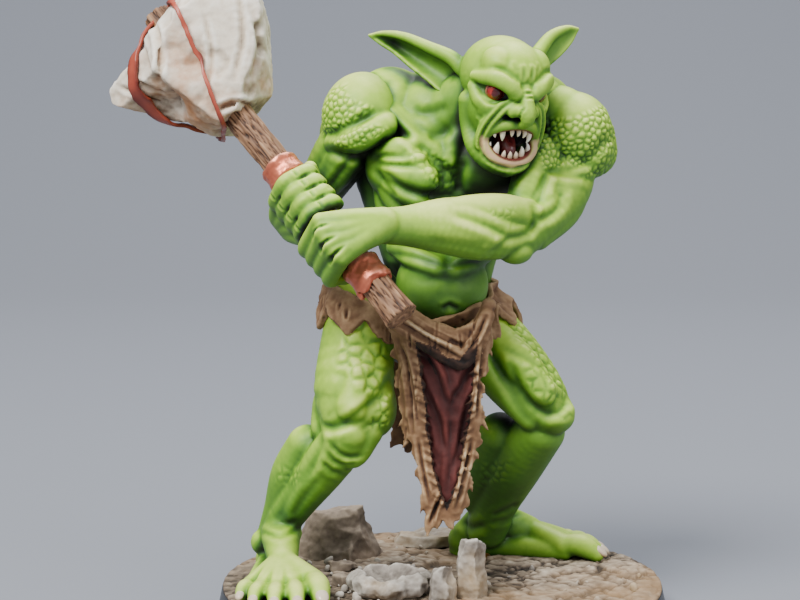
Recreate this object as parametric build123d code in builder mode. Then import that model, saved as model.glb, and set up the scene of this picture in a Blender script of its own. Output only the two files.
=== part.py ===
"""Multi-part resin troll miniature on a round plinth, gripping a stone-headed maul. Millimetres, +Z up.

The origin is the centre of the plinth's flat underside. The figure faces -Y, its head turned towards +X.
"right" and "left" are the figure's own sides, so its right arm is on the -X side.
"""

import os
from math import cos, pi, sin

from build123d import *

# Driving dimensions -------------------------------------------------------------------------------
plinth_radius = 30.0  # 60 mm round plinth
plinth_top_radius = 29.2
plinth_height = 4.6
recess_depth = 1.6  # the ground plate drops into this recess
plate_radius = 28.2
plate_gap = 0.05
ground = 5.0  # height of the ground plate's top face, where everything stands

pin_radius = 0.5  # 1 mm brass rod
pin_gap = 0.05

shaft_radius = 1.95
ferrule_wall = 0.45
grip_gap = 0.05

# Landmarks of the figure --------------------------------------------------------------------------
right_hip, right_knee, right_ankle = (-9.3, 2.5, 39.5), (-13.6, -3.0, 25.5), (-22.0, 4.5, 11.5)
left_hip, left_knee, left_ankle = (5.0, 6.0, 38.5), (15.4, 2.5, 27.5), (6.2, 12.5, 11.5)
right_shoulder, right_elbow, right_wrist = (-12.0, 2.0, 63.5), (-13.5, 5.5, 52.5), (-19.2, -5.5, 50.8)
left_shoulder, left_elbow, left_wrist = (17.8, 1.5, 64.0), (9.6, -9.0, 51.6), (-6.6, -14.2, 53.0)
head_centre = (7.4, -5.5, 70.5)
head_turn, head_nod = 27.0, 6.0
shaft_foot, shaft_tip = (-5.4, -20.0, 43.0), (-37.6, 2.0, 80.2)
stone_reach = 0.815  # the stone's centre, as a share of the shaft from its foot
right_grip, left_grip = 0.36, 0.228  # the fists' centres, as shares of the shaft


def direction(start, end):
    """Unit vector from one point to another."""
    return (Vector(*end) - Vector(*start)).normalized()


def along(start, end, share):
    """Point at a share of the way from start to end."""
    return Vector(*start) + (Vector(*end) - Vector(*start)) * share


def spindle(start, end, radii, mode=Mode.ADD):
    """Adds a muscle-shaped solid of revolution with round ends, through evenly spaced radii."""
    a, b = Vector(*start), Vector(*end)
    run = b - a
    first, last = radii[0], radii[-1]
    step = (run.length - first - last) / (len(radii) - 1)
    stations = [(first + i * step, radius) for i, radius in enumerate(radii)]
    slant = 0.5 ** 0.5
    with BuildSketch(Plane(origin=a, x_dir=run, z_dir=run.cross(Vector(0.31, 0.17, 1.0)))) as profile:
        with BuildLine():
            ThreePointArc((0, 0), (first * (1 - slant), first * slant), stations[0])
            Polyline(*stations)
            ThreePointArc(stations[-1], (run.length - last * (1 - slant), last * slant), (run.length, 0))
            Line((run.length, 0), (0, 0))
        make_face()
    revolve(profile.sketch, axis=Axis(a, run), mode=mode)


def rod(start, end, radius, mode=Mode.ADD):
    """Adds a plain round rod between two points."""
    a, b = Vector(*start), Vector(*end)
    with BuildSketch(Plane(origin=a, z_dir=b - a)) as section:
        Circle(radius)
    extrude(section.sketch, amount=(b - a).length, mode=mode)


def chipped_block(centre, half_sizes, facets, grow=0.0):
    """A block with flats knocked off it, each flat given as an outward normal and its distance from the centre."""
    with BuildPart() as block:
        with Locations(centre):
            Box(*(2 * (size + grow) for size in half_sizes))
        for normal, distance in facets:
            outward = Vector(*normal).normalized()
            flat = Vector(*centre) + outward * (distance + grow)
            split(bisect_by=Plane(origin=flat, z_dir=outward), keep=Keep.BOTTOM)
    return block


def save(piece, name):
    """Labels a finished piece and writes it to its own file."""
    piece.part.label = name
    export_step(piece.part, f"parts/{name}.step")


def cut_away(*pieces):
    """Takes neighbouring pieces out of the one being built, so that they meet face to face."""
    for piece in pieces:
        add(piece.part, mode=Mode.SUBTRACT)


def drill(*pins):
    """Drills the pins' holes in the piece being built."""
    for start, end in pins:
        reach = direction(start, end) * pin_gap
        rod(Vector(*start) - reach, Vector(*end) + reach, pin_radius + pin_gap, mode=Mode.SUBTRACT)


os.makedirs("parts", exist_ok=True)

# Brass pins that hold the assembly: each is a start and an end point -----------------------------
right_foot_spot, left_foot_spot = (-22.0, 4.0), (6.6, 13.2)
pins = {
    "right_foot_pin": ((*right_foot_spot, 1.6), (*right_foot_spot, 9.6)),
    "left_foot_pin": ((*left_foot_spot, 1.6), (*left_foot_spot, 9.6)),
    "right_hip_pin": ((-4.8, 4.2, 37.6), (-11.4, 1.6, 35.6)),
    "left_hip_pin": ((1.6, 5.6, 38.0), (8.2, 5.4, 35.0)),
    "waist_pin": ((-1.2, 4.6, 36.6), (-0.8, 4.4, 45.4)),
    "right_shoulder_pin": ((-7.0, 3.2, 63.6), (-13.4, 2.0, 63.6)),
    "left_shoulder_pin": ((12.0, 3.0, 64.4), (18.6, 1.6, 64.0)),
    "neck_pin": ((4.6, -0.2, 66.0), (6.6, -3.4, 71.6)),
    "right_wrist_pin": ((-18.2, -3.6, 51.0), (-20.6, -8.4, 53.0)),
    "left_wrist_pin": ((-4.0, -13.4, 52.8), (-9.2, -14.8, 53.2)),
}
for pin_name, (pin_start, pin_end) in pins.items():
    with BuildPart() as pin:
        rod(pin_start, pin_end, pin_radius)
    save(pin, pin_name)

# Plinth and scenic ground -------------------------------------------------------------------------
with BuildPart() as base_plinth:
    with BuildSketch(Plane.XZ) as plinth_profile:
        with BuildLine():
            Polyline(
                (0, 0),
                (plinth_radius - 0.3, 0),
                (plinth_radius, 0.3),
                (plinth_radius, 0.9),
                (plinth_top_radius, plinth_height),
                (plate_radius + plate_gap, plinth_height),
                (plate_radius + plate_gap, plinth_height - recess_depth),
                (0, plinth_height - recess_depth),
                (0, 0),
            )
        make_face()
    revolve(plinth_profile.sketch, axis=Axis.Z)
    drill(pins["right_foot_pin"], pins["left_foot_pin"])
save(base_plinth, "base_plinth")

with BuildPart() as ground_plate:
    with BuildSketch(Plane.XY.offset(plinth_height - recess_depth)):
        Circle(plate_radius)
    extrude(amount=ground - plinth_height + recess_depth)
    chamfer(ground_plate.faces().sort_by(Axis.Z)[-1].edges(), length=0.35)
    drill(pins["right_foot_pin"], pins["left_foot_pin"])
save(ground_plate, "ground_plate")

# Rubble glued on the ground: centre, half sizes and the flats knocked off each stone ---------------
stones = {
    "boulder": (
        (-14.2, 15.0, 8.0),
        (6.2, 4.6, 3.0),
        [((-0.8, -0.3, 1), 4.2), ((0.9, -0.2, 1), 4.3), ((0.1, -1, 0.9), 4.0), ((0.2, 1, 0.8), 4.2),
         ((-1, 0.4, 0.2), 5.4), ((1, -0.7, 0.1), 5.6), ((-0.7, -1, 0.1), 5.6)],
    ),
    "ledge_stone": (
        (-1.2, 21.2, 5.9),
        (5.4, 3.6, 0.9),
        [((-1, 0.5, 0.4), 4.8), ((1, 0.8, 0.3), 4.9), ((1, -0.9, 0.3), 4.6), ((0.1, 0.2, 1), 0.75)],
    ),
    "tall_standing_stone": (
        (3.6, -8.6, 8.9),
        (1.9, 1.7, 3.9),
        [((-1, 0.1, 0.12), 1.5), ((1, 0.3, 0.1), 1.5), ((0.6, -1, 0.1), 1.6), ((-0.7, -1, 0.15), 1.55),
         ((0.4, 0.2, 1), 3.7), ((-0.5, 1, 0.2), 1.7)],
    ),
    "short_standing_stone": (
        (-0.2, -10.2, 7.4),
        (1.7, 1.7, 2.4),
        [((-1, 0.2, 0.7), 1.5), ((1, -0.5, 0.2), 1.6), ((-0.5, -1, 0.3), 1.5), ((0.3, 0.9, 0.4), 1.6)],
    ),
    "side_slab": (
        (-12.0, -2.6, 5.8),
        (2.7, 2.0, 0.8),
        [((-1, -0.3, 0.5), 2.2), ((1, 0.6, 0.4), 2.4), ((-0.4, 1, 0.2), 1.8), ((0.2, -1, 0.4), 1.7)],
    ),
    "corner_slab": (
        (-13.4, 5.4, 5.6),
        (2.4, 1.6, 0.6),
        [((-1, 0.4, 0.5), 1.9), ((1, -0.6, 0.5), 2.0), ((0.2, 1, 0.4), 1.4)],
    ),
}
for stone_name, (stone_centre, stone_halves, stone_facets) in stones.items():
    save(chipped_block(stone_centre, stone_halves, stone_facets), stone_name)

# Upturned shell of stone with a shallow dish in its top
dish_centre, dish_radius, dish_height = (-6.6, -6.4), 4.9, 3.4
with BuildPart() as dish_stone:
    with BuildSketch(Plane.XY.offset(ground)):
        with Locations(dish_centre):
            RegularPolygon(dish_radius * 0.72, 9)
    with BuildSketch(Plane.XY.offset(ground + dish_height)):
        with Locations(dish_centre):
            RegularPolygon(dish_radius, 9)
    loft()
    spindle((dish_centre[0] - 3.9, dish_centre[1], ground + dish_height + 0.5),
            (dish_centre[0] + 3.9, dish_centre[1], ground + dish_height + 0.5), [1.5, 1.9, 1.5], Mode.SUBTRACT)
save(dish_stone, "dish_stone")

pebble_spots = [(19.6, -0.6, 0.9), (16.4, -6.4, 0.8), (14.4, -12.2, 0.7), (10.6, -5.0, 0.6), (22.6, -6.8, 0.7),
                (8.4, -16.4, 0.8), (-9.0, -19.6, 0.9), (-2.2, 8.4, 0.7), (20.4, 5.2, 0.6), (1.0, -19.8, 0.6)]
pebble_blocks = [
    chipped_block(
        (spot_x, spot_y, ground + 0.6 * size),
        (1.4 * size, size, 0.6 * size),
        [((1, 0.5, 0.6), 1.1 * size), ((-1, -0.4, 0.7), 1.1 * size), ((-0.3, 1, 0.3), 0.9 * size)],
    )
    for spot_x, spot_y, size in pebble_spots
]
with BuildPart() as pebbles:
    for block in pebble_blocks:
        add(block.part)
save(pebbles, "pebbles")

# Head, worked in its own frame: x to the figure's left, y up, z out of the face ----------------------
turn, nod = head_turn * pi / 180, head_nod * pi / 180
facing = Vector(sin(turn) * cos(nod), -cos(turn) * cos(nod), -sin(nod))
head_frame = Plane(origin=head_centre, x_dir=(cos(turn), sin(turn), 0), z_dir=facing)


def at_head(x, y, z):
    """Point of the head's own frame in the figure's frame."""
    return head_frame.from_local_coords(Vector(x, y, z))


def teeth(positions, lift):
    """A row of separate cone teeth rooted in the jaw; lift is +1 for the lower row and -1 for the upper."""
    with BuildPart() as row:
        for x, y, z, size in positions:
            root, tip = at_head(x, y - lift * size, z), at_head(x, y + lift * size, z)
            with Locations(Plane(origin=root, z_dir=tip - root)):
                Cone(0.42, 0.12, (tip - root).length, align=(Align.CENTER, Align.CENTER, Align.MIN))
    return row


upper_teeth = teeth([(-1.7, -3.9, 4.6, 0.8), (-0.6, -3.6, 5.0, 1.1), (0.5, -3.6, 5.0, 0.8), (1.6, -3.9, 4.6, 1.0)], -1)
save(upper_teeth, "upper_teeth")
lower_teeth = teeth([(-2.1, -7.4, 4.2, 0.9), (-1.05, -7.8, 4.7, 1.1), (0.0, -7.9, 4.9, 0.8), (1.05, -7.8, 4.7, 0.8),
                     (2.1, -7.4, 4.2, 1.0)], 1)
save(lower_teeth, "lower_teeth")

with BuildPart() as tongue:
    spindle(at_head(0, -7.2, 1.4), at_head(0, -6.9, 4.5), [0.7, 0.9, 0.7])
save(tongue, "tongue")

eye_spots = [at_head(side * 2.7, 0.2, 4.5) for side in (-1, 1)]
eye_radius = 1.15
with BuildPart() as eyes:
    for spot in eye_spots:
        with Locations(Plane(origin=spot, z_dir=facing)):
            Sphere(eye_radius)
save(eyes, "eyes")

with BuildPart() as head:
    spindle(at_head(0, 1.6, -6.4), at_head(0, 1.2, 5.6), [4.6, 5.9, 5.8, 4.7])  # cranium
    spindle(at_head(0, 4.0, 0.8), at_head(0, -10.4, 2.2), [4.4, 4.9, 4.6, 3.6])  # face and jaw
    spindle(at_head(0, 1.0, 4.2), at_head(0, -4.2, 7.0), [0.9, 1.3, 1.5])  # nose
    spindle(at_head(-4.4, 1.6, 3.6), at_head(4.4, 1.6, 3.6), [1.2, 1.5, 1.5, 1.2])  # brow
    spindle(at_head(0, -5.7, 1.0), at_head(0, -5.7, 10.5), [1.8, 2.1, 2.1], Mode.SUBTRACT)  # mouth
    cut_away(eyes, upper_teeth, lower_teeth, tongue)
    drill(pins["neck_pin"])
save(head, "head")


# Body castings ------------------------------------------------------------------------------------
with BuildPart() as torso:
    spindle((-0.8, 5.0, 41.0), (-1.0, 3.4, 72.0), [6.2, 7.0, 8.3, 8.6, 6.6])  # rib cage
    spindle((-14.5, 4.2, 64.0), (20.0, 4.2, 64.6), [5.0, 6.8, 7.4, 7.0, 5.0])  # shoulder girdle
    spindle((-13.0, 7.0, 67.0), (17.0, 6.4, 66.0), [4.2, 5.6, 5.8, 4.2])  # humped upper back
    spindle((-0.4, 5.0, 51.0), (0.4, -4.4, 37.6), [6.0, 6.4])  # belly
    spindle((3.0, 4.0, 65.0), (7.6, -5.4, 68.4), [4.2, 4.4, 3.6])  # neck
    split(bisect_by=Plane.XY.offset(40.0), keep=Keep.TOP)
    cut_away(head)
    drill(pins["waist_pin"], pins["right_shoulder_pin"], pins["left_shoulder_pin"], pins["neck_pin"])
save(torso, "torso")

with BuildPart() as pelvis:
    spindle((-12.6, 4.4, 39.4), (8.8, 5.6, 38.8), [5.4, 6.4, 6.4, 5.2])
    split(bisect_by=Plane.XY.offset(40.0), keep=Keep.BOTTOM)
    drill(pins["waist_pin"], pins["right_hip_pin"], pins["left_hip_pin"])
save(pelvis, "pelvis")


def foot(heel, toe, widths, heights):
    """Adds a foot that stands on the ground, lofted through rounded sections from heel to toe."""
    run = Vector(toe[0] - heel[0], toe[1] - heel[1], 0)
    sections = []
    for i, (width, height) in enumerate(zip(widths, heights)):
        origin = Vector(*heel, ground + height / 2) + run * (i / (len(widths) - 1))
        with BuildSketch(Plane(origin=origin, x_dir=run.cross(Vector(0, 0, 1)), z_dir=run)) as section:
            RectangleRounded(width, height, 0.42 * min(width, height))
        sections.append(section.sketch)
    loft(sections)


def toe_row(heel, toe, spread, reach):
    """Points along the front of a foot, one for each toe, from the big toe outwards."""
    run = Vector(toe[0] - heel[0], toe[1] - heel[1], 0).normalized()
    side = run.cross(Vector(0, 0, 1))
    return [
        Vector(*toe, ground + 1.15) + side * (spread * (0.44 - 0.22 * i)) + run * (reach - 0.35 * i * i * 0.3)
        for i in range(5)
    ], run


def leg(hip, knee, ankle, heel, toe, big_toe_side):
    """Adds a bent leg with its foot and toes, in one casting."""
    spindle(along(knee, hip, 1.16), along(hip, knee, 1.16), [4.6, 5.7, 5.5, 4.3])
    spindle(along(knee, ankle, -0.26), along(knee, ankle, 1.12), [3.9, 4.5, 3.7, 2.9, 2.6])
    foot(heel, toe, [4.6, 5.4, 7.4, 9.0, 8.4], [4.2, 6.0, 5.0, 3.3, 2.5])
    tips, run = toe_row(heel, toe, big_toe_side * 8.6, 1.4)
    for tip in tips:
        spindle(tip - run * 3.4, tip + run * 0.6, [1.0, 1.12, 1.05])


right_heel, right_toe = (-22.6, 8.4), (-20.4, -9.2)
left_heel, left_toe = (3.8, 14.4), (20.2, 11.4)

with BuildPart() as right_leg:
    leg(right_hip, right_knee, right_ankle, right_heel, right_toe, -1)
    split(bisect_by=Plane.XY.offset(ground), keep=Keep.TOP)
    cut_away(pelvis, torso)
    drill(pins["right_foot_pin"], pins["right_hip_pin"])
save(right_leg, "right_leg")

with BuildPart() as left_leg:
    leg(left_hip, left_knee, left_ankle, left_heel, left_toe, 1)
    split(bisect_by=Plane.XY.offset(ground), keep=Keep.TOP)
    cut_away(pelvis, torso, right_leg)
    drill(pins["left_foot_pin"], pins["left_hip_pin"])
save(left_leg, "left_leg")


def toenails(heel, toe, big_toe_side, name, casting):
    """One small nail on the end of each toe."""
    tips, run = toe_row(heel, toe, big_toe_side * 8.6, 1.4)
    with BuildPart() as nails:
        for i, tip in enumerate(tips):
            size = 0.85 - 0.07 * i
            start = tip + run * 0.1 + Vector(0, 0, 0.35)
            spindle(start - run * 1.2, start + run * 1.15, [0.8 * size, size])
        cut_away(casting)
    save(nails, name)


toenails(right_heel, right_toe, -1, "right_toenails", right_leg)
toenails(left_heel, left_toe, 1, "left_toenails", left_leg)

# Maul ---------------------------------------------------------------------------------------------
shaft_run = direction(shaft_foot, shaft_tip)
shaft_length = (Vector(*shaft_tip) - Vector(*shaft_foot)).length

with BuildPart() as maul_shaft:
    rod(shaft_foot, shaft_tip, shaft_radius)
    chamfer(maul_shaft.edges().filter_by(GeomType.CIRCLE), length=0.3)
save(maul_shaft, "maul_shaft")

stone_centre = tuple(along(shaft_foot, shaft_tip, stone_reach))
stone_halves = (12.5, 9.0, 12.5)
stone_flats = [
    (tuple(shaft_run), 9.4),
    (tuple(shaft_run * -1), 8.6),
    ((0.3, -1.0, 0.2), 8.0),
    ((-0.55, -1.0, 0.35), 8.6),
    ((1.0, -0.25, 0.1), 8.6),
    ((-0.75, -0.5, -1.0), 8.8),
    ((-0.9, 0.2, 0.75), 8.6),
    ((0.5, 0.3, 1.0), 10.4),
    ((-0.3, 1.0, -0.2), 8.2),
    ((0.6, 1.0, 0.3), 8.6),
    ((0.3, 0.6, -1.0), 9.2),
]


def beside_shaft(start_share, end_share, radius, mode=Mode.ADD):
    """Adds a round sleeve blank along the shaft between two shares of its length."""
    rod(along(shaft_foot, shaft_tip, start_share), along(shaft_foot, shaft_tip, end_share), radius, mode)


stone_blank = chipped_block(stone_centre, stone_halves, stone_flats)
with BuildPart() as maul_stone:
    add(stone_blank.part)
    beside_shaft(0.5, 1.1, shaft_radius + grip_gap, Mode.SUBTRACT)
save(maul_stone, "maul_stone")


def strap(normal, offset, width, thickness):
    """A leather band round the stone, in the plane with this normal at this offset from the stone's centre."""
    outward = Vector(*normal).normalized()
    middle = Vector(*stone_centre) + outward * offset
    edge = outward * (width / 2)
    wrapping = chipped_block(stone_centre, stone_halves, stone_flats, grow=thickness)
    with BuildPart() as band:
        add(wrapping.part)
        split(bisect_by=Plane(origin=middle + edge, z_dir=outward), keep=Keep.BOTTOM)
        split(bisect_by=Plane(origin=middle - edge, z_dir=outward), keep=Keep.TOP)
        cut_away(stone_blank)
    return band


nose_strap = strap((-1.0, 0.1, -0.35), 6.4, 2.0, 0.5)
save(nose_strap, "nose_strap")
side_strap = strap((0.82, 0.1, -0.57), -3.4, 1.7, 0.45)
with BuildPart() as front_strap:
    add(side_strap.part)
    cut_away(nose_strap)
    beside_shaft(0.5, 1.1, shaft_radius + 1.2, Mode.SUBTRACT)
save(front_strap, "front_strap")


# Hands gripping the shaft -------------------------------------------------------------------------
def round_shaft(share, angle, distance):
    """Point beside the shaft: angle 0 faces -Y and 90 faces up and towards +X, in degrees."""
    front = (Vector(0, -1, 0) - shaft_run * shaft_run.dot(Vector(0, -1, 0))).normalized()
    up = shaft_run.cross(front)
    turn = angle * pi / 180
    return along(shaft_foot, shaft_tip, share) + (front * cos(turn) + up * sin(turn)) * distance


def fingers(share, pitch, start_angle, end_angle):
    """Adds four fingers curled round the shaft side by side, as one ridged band."""
    hub = round_shaft(share, 0, 0)
    outward = (round_shaft(share, start_angle, 1) - hub).normalized()
    inner = shaft_radius + grip_gap
    knuckles = []
    for i in range(4):
        near = pitch * (2 - i)
        knuckles += [(near - 0.05, inner + 1.2), (near - 0.35 * pitch, inner + 1.9), (near - 0.65 * pitch, inner + 1.9)]
    with BuildSketch(Plane(origin=hub, x_dir=shaft_run, z_dir=shaft_run.cross(outward))) as band:
        with BuildLine():
            Polyline((2 * pitch, inner), *knuckles, (-2 * pitch, inner + 1.2), (-2 * pitch, inner), (2 * pitch, inner))
        make_face()
    revolve(band.sketch, axis=Axis(hub, shaft_run), revolution_arc=end_angle - start_angle)


def clear_shaft():
    """Takes the shaft, with its grip gap, out of the piece being built."""
    beside_shaft(-0.1, 1.1, shaft_radius + grip_gap, Mode.SUBTRACT)


with BuildPart() as right_hand:
    fingers(right_grip, 1.85, -110, 100)
    spindle(round_shaft(right_grip - 0.09, 190, 2.4), round_shaft(right_grip + 0.09, 190, 2.4), [2.5, 2.8, 2.4])
    spindle(round_shaft(right_grip, 190, 0.5), along(right_elbow, right_wrist, 0.9), [2.6, 2.6])
    clear_shaft()
    drill(pins["right_wrist_pin"])
save(right_hand, "right_hand")

with BuildPart() as left_hand:
    fingers(left_grip, 1.62, -235, -30)
    spindle(round_shaft(left_grip - 0.08, 15, 2.4), round_shaft(left_grip + 0.08, 15, 2.4), [2.0, 2.5, 2.2])
    spindle(round_shaft(left_grip, 15, 1.0), along(left_elbow, left_wrist, 0.9), [2.4, 2.8])
    clear_shaft()
    cut_away(right_hand)
    drill(pins["left_wrist_pin"])
save(left_hand, "left_hand")

with BuildPart() as right_arm:
    spindle((-10.6, 2.4, 70.6), (-13.6, 2.0, 57.0), [4.4, 5.6, 4.6])  # shoulder muscle
    spindle(along(right_shoulder, right_elbow, 0.1), along(right_shoulder, right_elbow, 1.2), [4.2, 4.3, 3.6])
    spindle(along(right_elbow, right_wrist, -0.25), along(right_elbow, right_wrist, 1.05), [3.3, 3.5, 2.7])
    cut_away(torso, right_hand)
    drill(pins["right_shoulder_pin"], pins["right_wrist_pin"])
save(right_arm, "right_arm")

with BuildPart() as left_arm:
    spindle((16.6, 2.0, 70.8), (19.2, 1.0, 57.4), [4.2, 5.6, 4.8])  # shoulder muscle
    spindle(along(left_shoulder, left_elbow, 0.05), along(left_shoulder, left_elbow, 1.24), [4.6, 4.9, 4.2])
    spindle(along(left_elbow, left_wrist, -0.2), along(left_elbow, left_wrist, 1.04), [4.2, 4.6, 3.9, 3.1])
    cut_away(torso, head, left_hand)
    drill(pins["left_shoulder_pin"], pins["left_wrist_pin"])
save(left_arm, "left_arm")


def ferrule(start_share, end_share):
    """A hammered copper sleeve on the shaft, clear of the fist beside it."""
    with BuildPart() as sleeve:
        beside_shaft(start_share, end_share, shaft_radius + ferrule_wall)
        beside_shaft(0, 1, shaft_radius + 0.02, Mode.SUBTRACT)
        cut_away(left_hand, right_hand, left_arm)
    return sleeve


save(ferrule(0.43, 0.49), "upper_ferrule")
save(ferrule(0.105, 0.165), "lower_ferrule")

# Ears -------------------------------------------------------------------------------------------
def ear(root, tip, radii, hollow):
    """A long pointed ear with a hollow towards the front."""
    with BuildPart() as shell:
        spindle(root, tip, radii)
        spindle(Vector(*root) + hollow, Vector(*tip) + hollow, [r * 0.8 for r in radii], Mode.SUBTRACT)
        cut_away(head, torso)
    return shell


save(ear((3.2, -3.4, 70.2), (-10.0, 2.6, 77.2), [1.5, 2.2, 1.9, 1.1], Vector(-0.2, -1.3, -0.9)), "right_ear")
save(ear((11.4, -2.4, 72.4), (17.8, 3.4, 78.0), [1.4, 1.7, 1.1], Vector(0.6, -0.9, -0.8)), "left_ear")


# Hide loincloth -----------------------------------------------------------------------------------
hip_centre = (-3.4, 4.6)
hide_thickness = 0.9
hem_points = 14

with BuildPart() as waist_hide:
    for inset, mode in ((0, Mode.ADD), (hide_thickness, Mode.SUBTRACT)):
        rings = []
        for height, half_x, half_y in ((36.0, 12.6, 10.2), (40.0, 12.0, 9.6), (45.5, 9.4, 8.4)):
            with BuildSketch(Plane.XY.offset(height)) as ring:
                with Locations(hip_centre):
                    Ellipse(half_x - inset, half_y - inset)
            rings.append(ring.sketch)
        loft(rings, mode=mode)
    for i in range(hem_points):
        turn_z = 360 / hem_points * i
        with BuildSketch(Plane(origin=(*hip_centre, 35.9), x_dir=(-sin(turn_z * pi / 180), cos(turn_z * pi / 180), 0),
                               z_dir=(cos(turn_z * pi / 180), sin(turn_z * pi / 180), 0))) as notch:
            with BuildLine():
                Polyline((-1.8, 0), (1.8, 0), (0.4, 2.6), (-1.8, 0))
            make_face()
        extrude(notch.sketch, amount=15, mode=Mode.SUBTRACT)
    cut_away(torso, pelvis, right_leg, left_leg)
    beside_shaft(-0.05, 0.6, shaft_radius + 0.6, Mode.SUBTRACT)
save(waist_hide, "waist_hide")


def hanging_panel(outline, origin, lean, thickness, *neighbours):
    """A thin panel hanging in front or behind, cut to an outline given across and down from its origin."""
    hang = Plane(origin=origin, x_dir=(1, 0, 0), z_dir=(0, -cos(lean * pi / 180), sin(lean * pi / 180)))
    with BuildPart() as panel:
        with BuildSketch(hang) as cut:
            with BuildLine():
                Polyline(*outline, outline[0])
            make_face()
        extrude(cut.sketch, amount=thickness)
        cut_away(*neighbours)
    return panel


front_outline = [(-6.0, 1.0), (6.0, 1.0), (6.4, -6.0), (5.6, -12.0), (4.4, -17.5), (4.8, -21.0), (3.4, -25.0),
                 (1.6, -27.0), (0.6, -25.2), (-1.6, -28.0), (-2.6, -20.0), (-4.4, -14.5), (-5.6, -8.0)]
red_outline = [(-4.2, -1.0), (4.4, -1.0), (4.2, -8.0), (2.6, -15.0), (-0.3, -20.5), (-2.2, -14.0), (-3.6, -8.0)]
back_outline = [(-6.5, 1.5), (5.5, 1.5), (4.0, -10.0), (0.5, -17.0), (-4.5, -16.0), (-6.0, -8.0)]

front_hide = hanging_panel(front_outline, (0.0, -5.9, 39.6), 3, 1.0, torso, pelvis, waist_hide, right_leg, left_leg)
save(front_hide, "front_hide")
red_cloth = hanging_panel(red_outline, (0.0, -7.0, 39.6), 3, 0.6, torso, pelvis, waist_hide, right_leg, left_leg,
                          front_hide)
save(red_cloth, "red_cloth")
back_flap = hanging_panel(back_outline, (-3.0, 12.3, 39.0), 0, 0.9, torso, pelvis, waist_hide, right_leg, left_leg)
save(back_flap, "back_flap")
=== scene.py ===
import math
import random

import bmesh
import bpy
import numpy as np
from mathutils import Euler, Matrix, Vector, noise
from mathutils.bvhtree import BVHTree

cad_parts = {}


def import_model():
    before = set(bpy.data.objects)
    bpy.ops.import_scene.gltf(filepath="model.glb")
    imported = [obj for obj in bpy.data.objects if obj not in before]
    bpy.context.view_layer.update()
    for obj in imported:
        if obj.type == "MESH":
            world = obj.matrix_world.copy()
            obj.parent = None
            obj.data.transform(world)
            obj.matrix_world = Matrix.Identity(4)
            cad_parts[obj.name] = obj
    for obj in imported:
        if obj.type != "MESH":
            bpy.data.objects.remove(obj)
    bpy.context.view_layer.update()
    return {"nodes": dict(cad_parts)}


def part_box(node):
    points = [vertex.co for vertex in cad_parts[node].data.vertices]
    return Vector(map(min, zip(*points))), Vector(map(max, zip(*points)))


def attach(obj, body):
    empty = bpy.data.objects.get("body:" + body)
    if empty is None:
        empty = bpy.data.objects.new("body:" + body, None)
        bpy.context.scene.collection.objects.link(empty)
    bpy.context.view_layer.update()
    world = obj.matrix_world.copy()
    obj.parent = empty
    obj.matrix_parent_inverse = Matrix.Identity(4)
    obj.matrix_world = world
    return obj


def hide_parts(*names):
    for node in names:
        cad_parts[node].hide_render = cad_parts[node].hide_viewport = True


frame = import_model()

# The figure is modelled in millimetres on a front view: u runs right and v up on the plane y = 0,
# seen from frontEye, and y is the depth behind that plane.
frontEye = Vector((-5.6, -289.3, 79.2))
groundHeight = 5.0


def at(u, v, y=0.0):
    return frontEye + (Vector((u, 0.0, v)) - frontEye) * ((y - frontEye.y) / -frontEye.y)


def smoothPath(points, step):  # a Catmull-Rom curve through the points, which may be of any length
    points = [Vector(p) for p in points]
    ends = [points[0] * 2 - points[1]] + points + [points[-1] * 2 - points[-2]]
    path = []
    for i in range(1, len(ends) - 2):
        a, b, c, d = ends[i - 1:i + 3]
        count = max(1, int((c - b).length / step))
        for k in range(count):
            t = k / count
            square, cube = 2 * a - 5 * b + 4 * c - d, 3 * b - a - 3 * c + d
            path.append(0.5 * (2 * b + (c - a) * t + square * t * t + cube * t ** 3))
    return path + [points[-1]]


def meshOf(blank):
    mesh = bpy.data.meshes.new("blank")
    blank.to_mesh(mesh)
    blank.free()
    return mesh


def merge(blank, part):
    mesh = meshOf(part)
    blank.from_mesh(mesh)
    bpy.data.meshes.remove(mesh)


def addTube(blank, points, radii, place=at):  # overlapping balls along a path, which the voxels melt together
    solid = [Vector((*place(*p), r)) for p, r in zip(points, radii)]
    balls = bmesh.new()
    for x, y, z, radius in smoothPath(solid, 0.3 * min(radii) + 0.12):
        bmesh.ops.create_icosphere(balls, subdivisions=2 if radius < 0.6 else 3, radius=max(radius, 0.1),
                                   matrix=Matrix.Translation((x, y, z)))
    merge(blank, balls)


def addBall(blank, centre, radii, turn=(0, 0, 0), place=at):
    matrix = Matrix.Translation(place(*centre)) @ Euler([math.radians(a) for a in turn]).to_matrix().to_4x4()
    bmesh.ops.create_icosphere(blank, subdivisions=4, radius=1.0, matrix=matrix @ Matrix.Diagonal((*radii, 1)))


def applied(mesh, *modifiers):  # the mesh with modifiers worked in; each is a type and its settings
    holder = bpy.data.objects.new("holder", mesh)
    bpy.context.scene.collection.objects.link(holder)
    for kind, settings in modifiers:
        modifier = holder.modifiers.new(kind, kind)
        for key, value in settings.items():
            setattr(modifier, key, value)
    result = bpy.data.meshes.new_from_object(holder.evaluated_get(bpy.context.evaluated_depsgraph_get()))
    bpy.data.objects.remove(holder)
    return result


def thickened(sheet, thickness):  # a sheet given thickness to both sides along its own normals
    mesh = applied(meshOf(sheet), ("SOLIDIFY", {"thickness": thickness, "offset": 0.0}))
    solid = bmesh.new()
    solid.from_mesh(mesh)
    bpy.data.meshes.remove(mesh)
    return solid


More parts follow.
